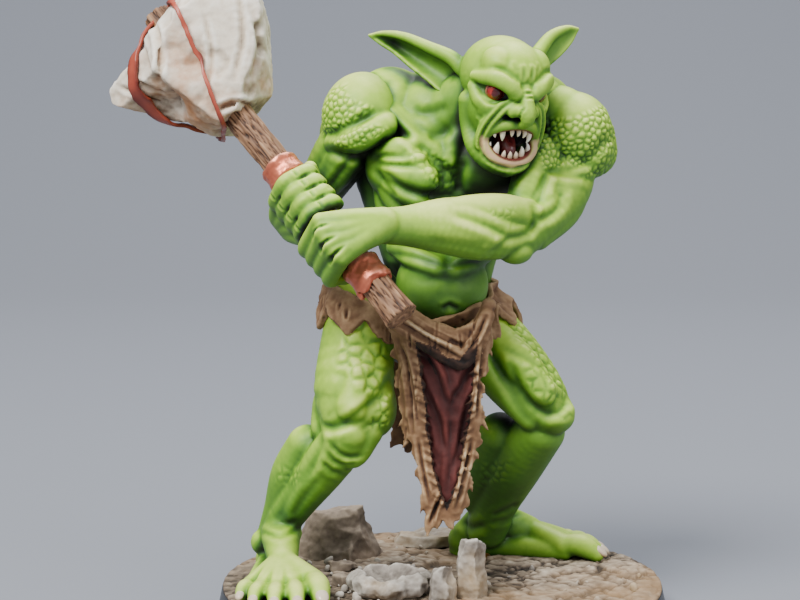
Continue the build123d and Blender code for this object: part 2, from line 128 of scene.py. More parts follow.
class Clay:  # a dense mesh worked like clay: its points are pushed in and out along their normals
    def __init__(self, name, blank, voxel, ease=4, seed=1):
        self.name, self.voxel, self.random = name, voxel, random.Random(seed)
        self.mesh = applied(meshOf(blank), ("REMESH", {"mode": "VOXEL", "voxel_size": voxel}),
                            ("SMOOTH", {"factor": 0.5, "iterations": ease}))
        self.read()

    def read(self):
        self.points = np.empty(len(self.mesh.vertices) * 3)
        self.mesh.vertices.foreach_get("co", self.points)
        self.points = self.points.reshape(-1, 3)
        self.edges = np.empty(len(self.mesh.edges) * 2, dtype=np.int32)
        self.mesh.edges.foreach_get("vertices", self.edges)
        self.edges = self.edges.reshape(-1, 2)
        self.refresh()

    def refresh(self):
        self.mesh.vertices.foreach_set("co", self.points.ravel())
        self.mesh.update()
        self.normals = np.empty(len(self.points) * 3)
        self.mesh.vertex_normals.foreach_get("vector", self.normals)
        self.normals = self.normals.reshape(-1, 3)

    def push(self, amount):
        self.points += self.normals * amount[:, None]
        self.refresh()

    def spread(self, values, times=1):  # averages values with their neighbours'
        a, b = self.edges.T
        links = np.bincount(a, minlength=len(self.points)) + np.bincount(b, minlength=len(self.points))
        for _ in range(times):
            total = np.bincount(a, values[b], len(values)) + np.bincount(b, values[a], len(values))
            values = 0.5 * values + 0.5 * total / np.maximum(links, 1)
        return values

    def spreadPoints(self, points, times):
        return np.stack([self.spread(points[:, i].copy(), times) for i in range(3)], 1)

    def onFront(self):  # where each point is seen on the front view
        away = (self.points[:, 1] - frontEye.y) / -frontEye.y
        eye = np.array(frontEye)
        return ((self.points - eye) / away[:, None] + eye)[:, [0, 2]]

    def lineDistance(self, path, front=True, within=None):
        where = self.onFront() if front else self.points
        path = [np.array(p, dtype=float)[:where.shape[1]] for p in smoothPath([Vector((*p, 0)[:3]) for p in path],
            0.8)]
        best = np.full(len(where), 1e9)
        share = np.zeros(len(where))
        near = np.arange(len(where))
        if within:
            low, high = np.min(path, 0) - within, np.max(path, 0) + within
            near = np.nonzero(((where > low) & (where < high)).all(1))[0]
        spots = where[near]
        for i, (a, b) in enumerate(zip(path, path[1:])):
            run = b - a
            t = np.clip(((spots - a) @ run) / (run @ run), 0, 1)
            distance = np.linalg.norm(spots - a - t[:, None] * run, axis=1)
            nearer = distance < best[near]
            best[near[nearer]] = distance[nearer]
            share[near[nearer]] = (i + t[nearer]) / (len(path) - 1)
        return best, share

    def facing(self):
        return np.clip(0.35 - 1.6 * self.normals[:, 1], 0, 1)

    def groove(self, path, width, depth, front=True, lip=0.35):  # a crease with softly raised sides
        distance, share = self.lineDistance(path, front, width * 4)
        taper = np.clip(5 * np.minimum(share, 1 - share) + 0.2, 0, 1)
        side = np.clip(distance / width, 0, 6)
        profile = lip * np.exp(-(side - 2.1) ** 2) - np.exp(-side ** 2)
        amount = profile * depth * taper * (self.facing() if front else 1)
        self.points += self.normals * amount[:, None]

    def patch(self, outline, soft=0.7, front=True):  # 1 inside an outline on the front view, 0 outside
        where = self.onFront()
        x, y = where.T
        inside = np.zeros(len(where), dtype=bool)
        edge = np.full(len(where), 1e9)
        for (ax, ay), (bx, by) in zip(outline, outline[1:] + outline[:1]):
            crosses = ((ay > y) != (by > y)) & (x < (bx - ax) * (y - ay) / (by - ay + 1e-9) + ax)
            inside ^= crosses
            run = np.array([bx - ax, by - ay])
            t = np.clip(((where - (ax, ay)) @ run) / (run @ run + 1e-9), 0, 1)
            edge = np.minimum(edge, np.linalg.norm(where - (ax, ay) - t[:, None] * run, axis=1))
        return np.clip(np.where(inside, edge, -edge) / soft + 0.5, 0, 1) * (self.facing() if front else 1)

    def scales(self, mask, size, height, spread=0.22, sharp=1.15):  # rounded scales, packed close
        chosen = np.nonzero(mask > 0.25)[0]
        if not len(chosen):
            return
        order = chosen.tolist()
        self.random.shuffle(order)
        seeds, reach = [], []
        for i in order[:6000]:
            radius = size * self.random.uniform(1 - spread, 1 + spread)
            if not seeds or (np.linalg.norm(np.array(seeds) - self.points[i],
                                            axis=1) > 0.5 * (np.array(reach) + radius)).all():
                seeds.append(self.points[i].copy())
                reach.append(radius)
        seeds, reach = np.array(seeds), np.array(reach)
        near = np.nonzero(mask > 0.01)[0]
        amount = np.zeros(len(self.points))
        for start in range(0, len(near), 4000):
            part = near[start:start + 4000]
            distances = np.linalg.norm(self.points[part][:, None] - seeds[None], axis=2) / reach[None]
            nearest = np.sort(distances, axis=1)[:, :2]
            gap = np.clip((nearest[:, 1] - nearest[:, 0]) * sharp, 0, 1)
            amount[part] = (gap * (2 - gap) - 0.4) * np.clip(1.35 - nearest[:, 0], 0, 1) * height
        self.push(amount * mask)

    def rough(self, size, height, mask=1.0, octaves=3):
        self.refresh()
        amount = np.array([noise.fractal(Vector(p) / size, 1.0, 2.0, octaves) for p in self.points])
        self.push(amount * height * mask)

    def shade(self, near=3, far=26):  # how far each point stands proud of its surroundings, fine and broad
        self.refresh()
        eased = self.spreadPoints(self.points, near)
        fine = ((self.points - eased) * self.normals).sum(1)
        broad = ((self.points - self.spreadPoints(eased, far)) * self.normals).sum(1)
        return fine / self.voxel, broad / self.voxel


def setTone(mesh, values, name="tone"):  # a value for each point, which the paint reads
    mesh.attributes.new(name, "FLOAT", "POINT").data.foreach_set("value", np.asarray(values, dtype=np.float32))


def finish(clay, nodes, slotName, material, values):  # puts a worked mesh in the scene, in metres
    for key, numbers in values.items():
        setTone(clay.mesh, numbers, key)
    return show(clay.name, clay.mesh, nodes, material)


def show(name, mesh, nodes, material):
    mesh.transform(Matrix.Scale(0.001, 4))
    mesh.materials.clear()
    mesh.materials.append(material)
    mesh.polygons.foreach_set("use_smooth", [True] * len(mesh.polygons))
    mesh.update()
    piece = bpy.data.objects.new(name, mesh)
    bpy.context.scene.collection.objects.link(piece)
    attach(piece, "root")
    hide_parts(*nodes)
    return piece


def tint(red, green, blue):  # a screen colour, 0 to 255, as the shader's own
    screen = [c / 255 for c in (red, green, blue)]
    return tuple(((c + 0.055) / 1.055) ** 2.4 if c > 10 / 255 else c / 12.92 for c in screen) + (1.0,)


class Signal:  # a socket that adds Math nodes when it is used in an expression
    def __init__(self, finish, socket):
        self.finish, self.socket = finish, socket

    def work(self, operation, first, second):
        return self.finish.add("ShaderNodeMath", {"operation": operation}, {0: first, 1: second})[0]

    def __add__(self, other): return self.work("ADD", self, other)
    def __radd__(self, other): return self.work("ADD", other, self)
    def __sub__(self, other): return self.work("SUBTRACT", self, other)
    def __rsub__(self, other): return self.work("SUBTRACT", other, self)
    def __mul__(self, other): return self.work("MULTIPLY", self, other)
    def __rmul__(self, other): return self.work("MULTIPLY", other, self)


class Outputs:
    def __init__(self, finish, node):
        self.finish, self.node = finish, node

    def __getitem__(self, key):
        return Signal(self.finish, self.node.outputs[key])


class PaintFinish:
    def __init__(self, name, roughness=0.5, metallic=0.0, coat=0.0):
        self.material = bpy.data.materials.new(name)
        self.material.use_nodes = True
        self.tree = self.material.node_tree
        self.shader = self.tree.nodes["Principled BSDF"]
        self.set({"Roughness": roughness, "Metallic": metallic, "Coat Weight": coat})

    def add(self, kind, settings=None, values=None):
        node = self.tree.nodes.new(kind)
        for key, value in (settings or {}).items():
            if key == "stops":
                ramp = node.color_ramp
                while len(ramp.elements) < len(value):
                    ramp.elements.new(0.5)
                for element, (position, colour) in zip(ramp.elements, value):
                    element.position, element.color = position, colour
            else:
                setattr(node, key, value)
        for key, value in (values or {}).items():
            self.join(value, node.inputs[key])
        return Outputs(self, node)

    def join(self, value, socket):
        if isinstance(value, Signal):
            self.tree.links.new(value.socket, socket)
        else:
            socket.default_value = value

    def set(self, values):
        for key, value in values.items():
            self.join(value, self.shader.inputs[key])

    def read(self, attribute):
        return self.add("ShaderNodeAttribute", {"attribute_name": attribute})["Fac"]

    def place(self):
        return self.add("ShaderNodeTexCoord")["Object"]

    def noise(self, scale, detail=4.0, roughness=0.55, vector=None):
        return self.add("ShaderNodeTexNoise", {}, {"Vector": vector or self.place(), "Scale": scale, "Detail": detail,
                                                   "Roughness": roughness})["Fac"]

    def ramp(self, value, stops):
        return self.add("ShaderNodeValToRGB", {"stops": stops}, {"Fac": value})["Color"]

    def mix(self, share, first, second, blend="MIX"):
        return self.add("ShaderNodeMix", {"data_type": "RGBA", "blend_type": blend},
                        {0: share, 6: first, 7: second})[2]

    def bump(self, height, strength, distance):
        self.set({"Normal": self.add("ShaderNodeBump", {}, {"Height": height, "Strength": strength,
                                                            "Distance": distance})["Normal"]})


skinPaint = {
    "stops": [(0.0, tint(6, 14, 4)), (0.2, tint(24, 52, 10)), (0.4, tint(56, 102, 20)), (0.6, tint(102, 152, 32)),
              (0.8, tint(170, 210, 62)), (1.0, tint(236, 250, 136))],
    "mottle": 0.16, "brush": 0.10,
}


def makeSkin(name, withMouth=False):
    skin = PaintFinish(name, coat=0.05)
    tone = skin.read("tone") + (skin.noise(140) - 0.5) * skinPaint["mottle"] + (skin.noise(900,
        3) - 0.5) * skinPaint["brush"]
    colour = skin.ramp(tone, skinPaint["stops"])
    if withMouth:
        colour = skin.mix(skin.read("lip"), colour, tint(212, 172, 134))
        colour = skin.mix(skin.read("inner"), colour, tint(96, 34, 22))
        # near-black painted shadow deep inside the mouth
        colour = skin.mix(skin.read("deep"), colour, tint(10, 5, 5))
    skin.set({"Base Color": colour, "Roughness": 0.63 - 0.1 * tone})
    skin.shader.inputs["Coat Roughness"].default_value = 0.35
    skin.bump(skin.noise(1500, 4, 0.6), 0.12, 0.0001)
    return skin.material


def toned(name, stops, roughness, scales=(120, 700), amounts=(0.25, 0.2), metallic=0.0, bump=(1800, 0.2, 0.0001),
          coat=0.0):
    paint = PaintFinish(name, roughness, metallic, coat)
    tone = paint.read("tone")
    for scale, amount in zip(scales, amounts):
        tone = tone + (paint.noise(scale) - 0.5) * amount
    paint.set({"Base Color": paint.ramp(tone, stops)})
    paint.bump(paint.noise(bump[0], 4, 0.6), bump[1], bump[2])
    return paint.material


def plain(name, colour, roughness, coat=0.0, metallic=0.0):
    paint = PaintFinish(name, roughness, metallic, coat)
    paint.set({"Base Color": colour})
    return paint.material


# the paint's tone with light and shade painted in: painted shade in hollows and painted highlight on raised parts,
# fine and broad, and up paints upward-facing surfaces lighter and downward-facing ones darker
def toneOf(clay, base=0.5, fine=0.28, broad=0.09, up=0.14, low=0.0, high=1.0):
    fineShade, broadShade = clay.shade()
    tone = base + fine * np.clip(fineShade, -1.6, 1.2) + broad * np.clip(broadShade, -4, 3) + up * clay.normals[:, 2]
    return np.clip(tone, low, high)


print("materials ready")


foldLook = {"softness": 1.4, "depth": 0.5}  # how wide and how deep the creases below are cut, as shares


def sculpt(name, shape, seed, blank=None, standing=False):  # one flesh piece with its creases and scales
    blank = blank or bmesh.new()
    for points, radii in shape["tubes"]:
        addTube(blank, points, radii)
    for centre, radii, *turn in shape["balls"]:
        addBall(blank, centre, radii, *turn)
    clay = Clay(name, blank, shape["voxel"], shape["ease"], seed)
    if standing:
        clay.points[:, 2] = np.maximum(clay.points[:, 2], groundHeight)
        clay.refresh()
    for path, width, depth in shape["grooves"]:
        clay.groove(path, width * foldLook["softness"], depth * foldLook["depth"])
    clay.refresh()
    for outline, size, height in shape["patches"]:
        clay.scales(clay.patch(outline), size, height)
    return clay


torsoShape = {
    "voxel": 0.27, "ease": 9,
    "tubes": [
        ([(-0.5, 39, 5), (-0.6, 47, 4.6), (-1.0, 54, 4.4), (-1.4, 61, 3.8), (-1.2, 66, 4.2)],
         [6.4, 6.0, 7.6, 8.6, 7.0]),
        ([(-7.6, 65, 4.5), (-7.9, 59, 4.2), (-6.2, 51, 4.4), (-4.4, 44, 4.6)], [3.6, 3.5, 2.6, 2.2]),
        ([(10, 65, 4.5), (7.8, 59, 4.6), (5.2, 51, 4.8), (3.6, 44, 4.6)], [4.2, 4.0, 2.8, 2.4]),
        ([(-9, 61.6, -0.5), (-6.6, 62.4, -3.6), (-4.2, 62.6, -4.4)], [0.9, 1.5, 1.4]),
        ([(-9, 61.1, -0.5), (-6.4, 61.0, -4.2), (-3.4, 60.9, -5.0)], [0.8, 1.25, 1.5]),
        ([(-9, 60.7, -0.5), (-6.2, 59.4, -4.4), (-2.4, 58.6, -5.4)], [0.8, 1.5, 1.9]),
        ([(-8.8, 60.2, -0.3), (-6.4, 57.6, -3.8), (-3.2, 56.0, -4.8)], [0.7, 1.2, 1.5]),
        ([(-8.6, 59.4, 0), (-6.9, 56.0, -3), (-4.6, 53.4, -3.6)], [0.8, 1.1, 1.1]),
        ([(-8.4, 58.4, 0.4), (-7.8, 54.8, -1.6), (-6.2, 52, -2.4)], [0.9, 1.0, 0.9]),
        ([(-8.3, 69.2, 0.2), (-5.7, 66.4, -1.8), (-3.2, 63.9, -3.2), (-0.7, 61.9, -4.0)], [1.3, 1.35, 1.3, 1.1]),
        ([(2.4, 65.6, -2.6), (1.4, 63.2, -3.6), (0.8, 61.2, -4.2)], [1.7, 1.4, 1.2]),
        ([(1.0, 67, 1), (5.5, 69.4, -2)], [5.0, 4.5]),
        ([(-12, 64.5, 6), (-6, 66.0, 7.5), (0, 66.4, 7.8), (7, 66.2, 7.5), (14, 64.4, 6)], [4.2, 5.4, 5.4, 5.4, 4.6]),
        ([(-2.8, 58, 10), (-2.6, 48, 9.6), (-2.4, 41, 9.4)], [2.6, 2.2, 2.4]),
        ([(2.0, 58, 10), (1.8, 48, 9.6), (1.6, 41, 9.4)], [2.6, 2.2, 2.4]),
        ([(-6.2, 49.6, 0.0), (-3.6, 48.2, -3.4), (-0.6, 46.8, -4.8)], [1.3, 1.5, 1.5]),
        ([(5.6, 49.0, 0.6), (3.4, 47.6, -3.2), (1.2, 46.4, -4.8)], [1.4, 1.5, 1.4]),
    ],
    "balls": [
        ((-4.6, 60.2, -0.6), (5.6, 4.0, 4.8)), ((5.4, 60.6, -1.4), (5.6, 4.0, 4.8)),
        ((-6.8, 67.9, 3.6), (5.3, 5.2, 5.3)), ((-1.6, 67.2, 2.0), (5.0, 5.0, 4.8)),
        ((11.6, 67.6, 3.2), (5.6, 4.8, 5.0)),
        ((12.4, 68.4, 0.8), (3.6, 3.4, 3.6)), ((-2.4, 64.6, -0.6), (4.4, 3.0, 3.4)),
        ((9.5, 63.4, -1.2), (4.2, 3.6, 4.4)),
        ((-7.0, 60, 8.6), (4.6, 3.0, 5.8), (0, 12, 0)), ((6.6, 60, 8.6), (4.6, 3.0, 5.8), (0, -12, 0)),
        ((-0.1, 44.7, -0.4), (6.1, 5.6, 5.5)), ((-1.4, 38.4, 5), (7.6, 6.2, 5.2)),
    ],
    "grooves": [
        ([(-6.9, 71.6), (-7.1, 69.7), (-6.6, 68.3)], 0.5, 0.4),
        ([(-3.8, 68.2), (-3.1, 67.2), (-1.2, 67.3), (0.7, 68.1)], 0.45, 0.5),
        ([(-1.9, 63.7), (-0.4, 64.4), (1.4, 64.8)], 0.4, 0.4),
        ([(-8.0, 67.6), (-6.6, 65.9), (-4.0, 63.3), (-2.2, 61.9)], 0.35, 0.5),
        ([(-6.6, 68.4), (-4.6, 66.4), (-2.3, 64.0)], 0.35, 0.4),
        ([(-9.2, 61.3), (-7.4, 61.5), (-4.6, 61.4)], 0.25, 0.4),
        ([(-9.2, 61.0), (-7.2, 60.4), (-3.8, 60.2)], 0.25, 0.4),
        ([(-9.0, 60.6), (-7.4, 59.0), (-5.3, 57.4), (-2.2, 56.4), (1.6, 56.6)], 0.4, 0.7),
        ([(-8.8, 59.9), (-7.7, 58.0), (-6.0, 56.0)], 0.3, 0.5),
        ([(3.0, 61.2), (2.1, 59.0), (2.0, 56.6)], 0.45, 0.9),
        ([(-7.2, 48.8), (-4.2, 48.4), (-0.2, 47.2), (1.0, 47.4)], 0.35, 0.5),
        ([(5.4, 47.6), (3.0, 47.5), (1.0, 47.2)], 0.35, 0.5),
        ([(0.6, 50.0), (0.6, 46.0), (0.9, 43.6)], 0.45, 0.3),
        ([(-0.2, 41.3), (0.9, 41.9), (2.2, 41.3)], 0.28, 0.75),
        ([(-4.8, 46.0), (-2.6, 45.2), (0.0, 45.6), (2.8, 45.2), (4.4, 45.8)], 0.5, 0.25),
    ],
    "patches": [
        ([(-4.8, 62.6), (-0.7, 61.9), (2.0, 60.1), (1.4, 57.2), (-0.7, 56.9), (-2.6, 59.2), (-4.2, 61.0)], 0.95, 0.2),
    ],
}
rightArmShape = {
    "voxel": 0.2, "ease": 7,
    "tubes": [
        ([(-14.0, 63.3, -0.6), (-11.6, 63.7, -3.0), (-8.2, 65.0, -3.6), (-7.0, 66.0, -2.6)], [1.5, 2.0, 1.9, 1.3]),
        ([(-10.8, 65.0, 2.2), (-13.4, 61.4, 3.0), (-16.2, 57.0, 5.0)], [4.2, 3.8, 3.1]),
        ([(-12.6, 61.6, 0.2), (-14.0, 59.6, 1.0), (-15.6, 57.2, 2.4)], [2.6, 2.4, 1.8]),
        ([(-17.0, 55.6, 6.0), (-18.4, 54.6, 0.5), (-18.8, 53.6, -5.0)], [3.2, 3.3, 2.4]),
    ],
    "balls": [((-10.4, 66.6, 1.6), (5.4, 5.6, 5.9)), ((-16.6, 55.8, 6.4), (3.0, 3.0, 3.0))],
    "grooves": [
        ([(-15.4, 63.9), (-12.6, 64.9), (-10.7, 66.1), (-8.6, 67.3)], 0.4, 0.7),
        ([(-14.9, 62.6), (-13.1, 61.8), (-10.5, 61.5), (-8.3, 62.7), (-6.6, 64.6)], 0.4, 0.8),
        ([(-11.6, 61.8), (-13.1, 59.8), (-15.0, 57.3)], 0.3, 0.55),
    ],
    "patches": [
        ([(-12.5, 70.9), (-12.9, 69.7), (-11.4, 68.6), (-9.2, 67.9), (-10.3, 66.6), (-15.6, 64.2), (-16.4, 67.2),
          (-14.2, 70.4)],
         0.74, 0.26),
        ([(-14.6, 63.3), (-11.4, 65.2), (-8.3, 65.7), (-7.2, 65.1), (-10.3, 63.0), (-12.7, 62.6)], 0.7, 0.22),
    ],
}
leftArmShape = {
    "voxel": 0.2, "ease": 7,
    "tubes": [
        ([(16.4, 61.0, 0.5), (15.2, 56.8, -2.6), (12.0, 52.8, -6.2), (9.6, 50.2, -8.2)], [3.9, 3.8, 3.0, 2.5]),
        ([(14.0, 59.8, -2.8), (13.2, 56.8, -5.2), (11.9, 54.2, -7.0)], [1.9, 2.2, 1.5]),
        ([(17.0, 58.2, -1.4), (15.6, 54.6, -3.4), (12.4, 51.0, -6.6)], [2.5, 2.5, 1.8]),
        ([(12.8, 62.0, -2.4), (11.4, 58.6, -4.8), (10.2, 56.0, -6.2)], [2.8, 2.5, 1.9]),
        ([(8.8, 51.6, -8.2), (5.0, 52.0, -10.4), (0.6, 52.4, -12.4), (-4.4, 52.4, -14.6), (-7.4, 52.4, -16.2)],
         [3.2, 4.0, 3.6, 2.6, 2.3]),
        ([(11.2, 54.0, -8.2), (7.4, 54.4, -11.0), (2.6, 54.6, -12.6), (-2.0, 54.0, -14.0)], [1.9, 2.2, 1.7, 1.0]),
        ([(21.0, 64.8, 2.0), (20.9, 61.4, 1.4), (18.9, 59.5, -0.6)], [1.3, 1.7, 1.2]),
    ],
    "balls": [((16.6, 64.8, 0.4), (5.4, 5.4, 5.2)), ((14.6, 66.4, 0.6), (4.8, 4.4, 4.4)),
              ((18.4, 62.4, 0.4), (3.8, 4.2, 4.0)), ((9.5, 49.2, -8.8), (2.3, 2.2, 1.8)),
              ((10.8, 51.0, -8.2), (1.8, 2.2, 1.8))],
    "grooves": [
        ([(1.2, 54.1), (3.8, 53.2), (6.2, 52.2), (8.4, 51.1), (9.8, 51.0)], 0.4, 0.7),
        ([(11.7, 55.4), (12.1, 53.4), (11.0, 51.4), (8.8, 50.7), (7.0, 49.2), (5.6, 48.4)], 0.35, 0.6),
        ([(15.5, 57.4), (15.2, 55.0), (13.8, 53.7), (12.2, 53.2)], 0.4, 0.7),
        ([(13.5, 59.4), (12.9, 57.0), (12.3, 55.0)], 0.4, 0.6),
        ([(21.4, 64.4), (19.5, 61.6), (17.4, 60.2), (15.0, 59.8)], 0.4, 0.6),
        ([(13.3, 59.7), (16.0, 59.1), (18.3, 58.9), (19.7, 58.2)], 0.35, 0.6),
        ([(-2.0, 50.4), (2.0, 49.8), (5.6, 49.4)], 0.5, 0.3),
    ],
    "patches": [
        ([(12.4, 67.0), (14.6, 66.3), (17.3, 66.6), (20.9, 68.2), (22.6, 64.0), (21.0, 61.6), (17.8, 60.3),
          (13.2, 60.0), (12.0, 63.0)],
         0.72, 0.26),
        ([(19.3, 60.0), (20.8, 61.6), (21.8, 63.8), (22.9, 62.2), (21.2, 58.8), (18.4, 58.7)], 0.7, 0.22),
        ([(6.0, 54.6), (9.4, 54.8), (9.8, 53.6), (6.6, 53.4)], 0.8, 0.1),
    ],
}
rightLegShape = {
    "voxel": 0.25, "ease": 7,
    "tubes": [
        ([(-9.6, 41.5, 3), (-11.2, 36, 0.8), (-11.7, 31, -1.2), (-12.3, 27, -2.2)], [5.6, 5.1, 5.3, 4.2]),
        ([(-12.6, 24.6, -3.4), (-15.6, 20.4, -1.0), (-20.2, 14.4, 2.6), (-21.8, 11.4, 4.0)], [3.3, 3.1, 2.5, 2.5]),
        ([(-17.8, 23.2, 2.2), (-19.8, 19.4, 3.6), (-21.4, 15.0, 4.6), (-22.4, 11.4, 5.2)], [2.9, 3.0, 2.3, 2.2]),
        ([(-11.2, 33, -4.8), (-11.9, 28.6, -5.6)], [1.6, 2.2]),
        ([(-10.0, 25.2, -3.4), (-11.8, 21.9, -4.0), (-14.4, 22.4, -4.2)], [2.2, 1.7, 1.5]),
    ],
    "balls": [((-12.4, 24.6, -4.9), (2.5, 2.0, 2.2)), ((-8.7, 28.4, -1.8), (2.7, 3.4, 4.0)),
              ((-16.0, 27, 0), (1.4, 2.6, 4.0)),
              ((-24.0, 10.2, 4.4), (1.5, 1.8, 1.7)), ((-19.6, 11.4, 3.0), (1.0, 1.2, 1.2)),
              ((-22.4, 8.0, 8.0), (2.5, 2.8, 2.6))],
    "grooves": [
        ([(-16.6, 30.0), (-16.5, 26.9), (-15.3, 25.7), (-12.9, 26.2), (-10.8, 27.7), (-9.2, 29.0), (-8.2, 30.1),
          (-6.6, 33.0)],
         0.42, 0.8),
        ([(-17.4, 29.5), (-16.9, 26.5), (-16.3, 23.8), (-17.0, 21.2), (-18.0, 18.6)], 0.38, 0.7),
        ([(-14.8, 23.6), (-13.8, 22.3), (-12.1, 21.6), (-10.4, 22.0)], 0.26, 0.45),
        ([(-15.4, 22.5), (-14.3, 21.1), (-12.7, 20.5), (-11.1, 20.9)], 0.26, 0.45),
        ([(-15.9, 20.9), (-14.5, 19.7), (-13.0, 19.4)], 0.26, 0.4),
        ([(-24.2, 11.6), (-21.5, 11.1), (-18.8, 12.0)], 0.3, 0.45),
        ([(-23.8, 12.6), (-21.5, 12.2), (-19.0, 13.2)], 0.28, 0.3),
        ([(-19.8, 18.8), (-21.0, 15.6), (-21.8, 13.0)], 0.4, 0.45),
        ([(-16.2, 19.0), (-18.6, 15.8), (-20.2, 13.2)], 0.4, 0.35),
    ],
    "patches": [
        ([(-12.8, 40.1), (-9.2, 39.3), (-7.6, 36.2), (-7.2, 34.3), (-9.0, 29.9), (-11.4, 30.8), (-12.0, 32.5),
          (-13.9, 33.3),
          (-13.8, 35.9), (-13.0, 37.9)], 1.7, 0.3),
        ([(-8.6, 30.6), (-7.0, 29.9), (-7.2, 25.9), (-10.2, 25.2), (-8.8, 27.8)], 1.0, 0.24),
        ([(-21.6, 20.6), (-18.6, 20.4), (-19.4, 17.6), (-22.2, 18.2)], 1.0, 0.12),
    ],
}
leftLegShape = {
    "voxel": 0.25, "ease": 7,
    "tubes": [
        ([(3.2, 39.4, 5.2), (7.9, 35.2, 3.4), (11.6, 30.8, 1.2), (14.0, 27.9, 0.2)], [5.5, 4.9, 4.3, 3.3]),
        ([(12.9, 25.2, 1.6), (9.6, 20.8, 5.6), (7.2, 16.0, 9.6), (6.0, 12.2, 12.2)], [3.4, 3.9, 3.3, 2.9]),
        ([(7.6, 24.6, 5.0), (6.6, 20.8, 8.0), (5.2, 16.4, 11.2)], [3.2, 3.8, 2.8]),
        ([(6.8, 37.8, 0.4), (10.2, 34.2, -1.4), (13.0, 30.6, -2.6)], [2.3, 2.5, 2.1]),
        ([(4.6, 35.0, 0.2), (8.0, 30.6, -0.6), (11.6, 27.0, -1.0)], [2.4, 2.0, 1.7]),
    ],
    "balls": [((14.9, 27.5, -0.6), (2.6, 2.8, 2.7)), ((3.4, 9.4, 16.0), (2.6, 3.0, 2.8)),
              ((7.8, 12.6, 13.2), (1.2, 1.4, 1.3))],
    "grooves": [
        ([(8.0, 36.2), (10.4, 35.1), (12.7, 33.9), (14.4, 32.4)], 0.4, 0.4),
        ([(9.0, 34.0), (10.0, 31.0), (11.7, 28.7), (13.8, 27.5), (15.3, 27.7), (16.3, 29.0), (16.3, 30.9)], 0.45,
         0.85),
        ([(6.3, 36.2), (8.5, 31.2), (11.0, 27.2), (13.0, 25.9)], 0.4, 0.5),
        ([(16.0, 26.6), (17.2, 27.6)], 0.3, 0.35),
        ([(6.4, 13.6), (8.3, 14.4), (10.3, 15.4)], 0.32, 0.55),
        ([(6.2, 12.8), (8.6, 13.2), (10.6, 14.4)], 0.28, 0.4),
        ([(2.6, 13.2), (3.9, 12.1), (5.8, 12.5)], 0.4, 0.6),
    ],
    "patches": [
        ([(6.6, 41.6), (9.7, 40.1), (13.0, 37.5), (15.6, 34.3), (16.9, 30.9), (15.6, 29.4), (14.0, 31.6),
          (12.0, 35.0),
          (9.5, 38.0)], 1.1, 0.26),
        ([(10.6, 34.6), (13.4, 33.0), (15.6, 30.4), (15.0, 28.6), (12.6, 29.8), (11.0, 32.2)], 1.2, 0.2),
        ([(5.2, 20.6), (9.2, 21.4), (8.6, 18.6), (5.0, 17.6)], 0.9, 0.12),
    ],
}
footShapes = {  # heel, toe roots and tips stand on the ground; sizes run from the big toe outwards
    "toeSizes": [1.42, 1.15, 1.08, 1.04, 0.98],
    "right": {"ankle": (-21.6, 2.6, 10.6), "heel": (-22.6, 7.4), "instep": (-21.0, -4.2, 8.6),
              "roots": [(-16.7, -9.2), (-19.1, -10.6), (-21.4, -11.0), (-23.5, -10.4), (-25.2, -8.8)],
              "tips": [(-15.6, -14.0), (-18.6, -15.2), (-21.5, -15.2), (-24.2, -14.0), (-26.0, -11.6)]},
    "left": {"ankle": (6.6, 13.6, 10.6), "heel": (3.4, 15.2), "instep": (12.2, 14.4, 8.6),
             "roots": [(17.0, 10.9), (18.2, 12.8), (18.5, 14.8), (18.0, 16.6), (16.9, 18.2)],
             "tips": [(21.4, 10.0), (22.2, 12.4), (22.0, 14.9), (21.0, 17.3), (19.2, 19.4)]},
}


def world(x, y, z):
    return Vector((x, y, z))


def addFoot(blank, foot):
    addTube(blank, [foot["ankle"], foot["instep"]], [2.7, 2.0], world)
    addTube(blank, [(*foot["heel"], 7.0), foot["ankle"]], [2.3, 2.6], world)
    for size, root, tip in zip(footShapes["toeSizes"], foot["roots"], foot["tips"]):
        addTube(blank, [foot["instep"], (*root, groundHeight + 1.5 * size)], [1.7, 1.15 * size], world)
        addTube(blank, [(*foot["heel"], 6.6), (*root, groundHeight + size)], [1.9, 1.0 * size], world)
        middle = [(a * 0.45 + b * 0.55) for a, b in zip(root, tip)]
        addTube(blank, [(*root, groundHeight + 1.6 * size), (*middle, groundHeight + 1.55 * size),
                        (*tip, groundHeight + 0.75 * size)],
                [1.0 * size, 1.12 * size, 0.8 * size], world)


def addLeg(side, shape):
    foot = footShapes[side]
    blank = bmesh.new()
    addFoot(blank, foot)
    leg = sculpt(side + "LegFlesh", shape, 5, blank, standing=True)
    for first, second in zip(foot["roots"], foot["roots"][1:]):  # hollows between the foot's tendons
        hollow = [(a + b) / 2 for a, b in zip(first, second)]
        start = Vector(foot["instep"]).lerp(Vector((*hollow, 7.4)), 0.25)
        leg.groove([tuple(start), (*hollow, 7.2)], 0.4, 0.45, front=False)
    return leg


torso = sculpt("torsoFlesh", torsoShape, 3)
rightLeg, leftLeg = addLeg("right", rightLegShape), addLeg("left", leftLegShape)
print("body and legs modelled")

# Maul shaft and the hands round it
shaftFoot, shaftTip = Vector((-5.4, -20.0, 43.0)), Vector((-37.6, 2.0, 80.2))
shaftRun = (shaftTip - shaftFoot).normalized()
shaftRadius = 1.95
frontSide = (Vector((0, -1, 0)) - shaftRun * shaftRun.dot(Vector((0, -1, 0)))).normalized()
upSide = shaftRun.cross(frontSide)


def roundShaft(share, angle, distance):  # angle 0 is towards the front, 90 is up and to the figure's left
    turn = math.radians(angle)
    return shaftFoot.lerp(shaftTip, share) + (frontSide * math.cos(turn) + upSide * math.sin(turn)) * distance


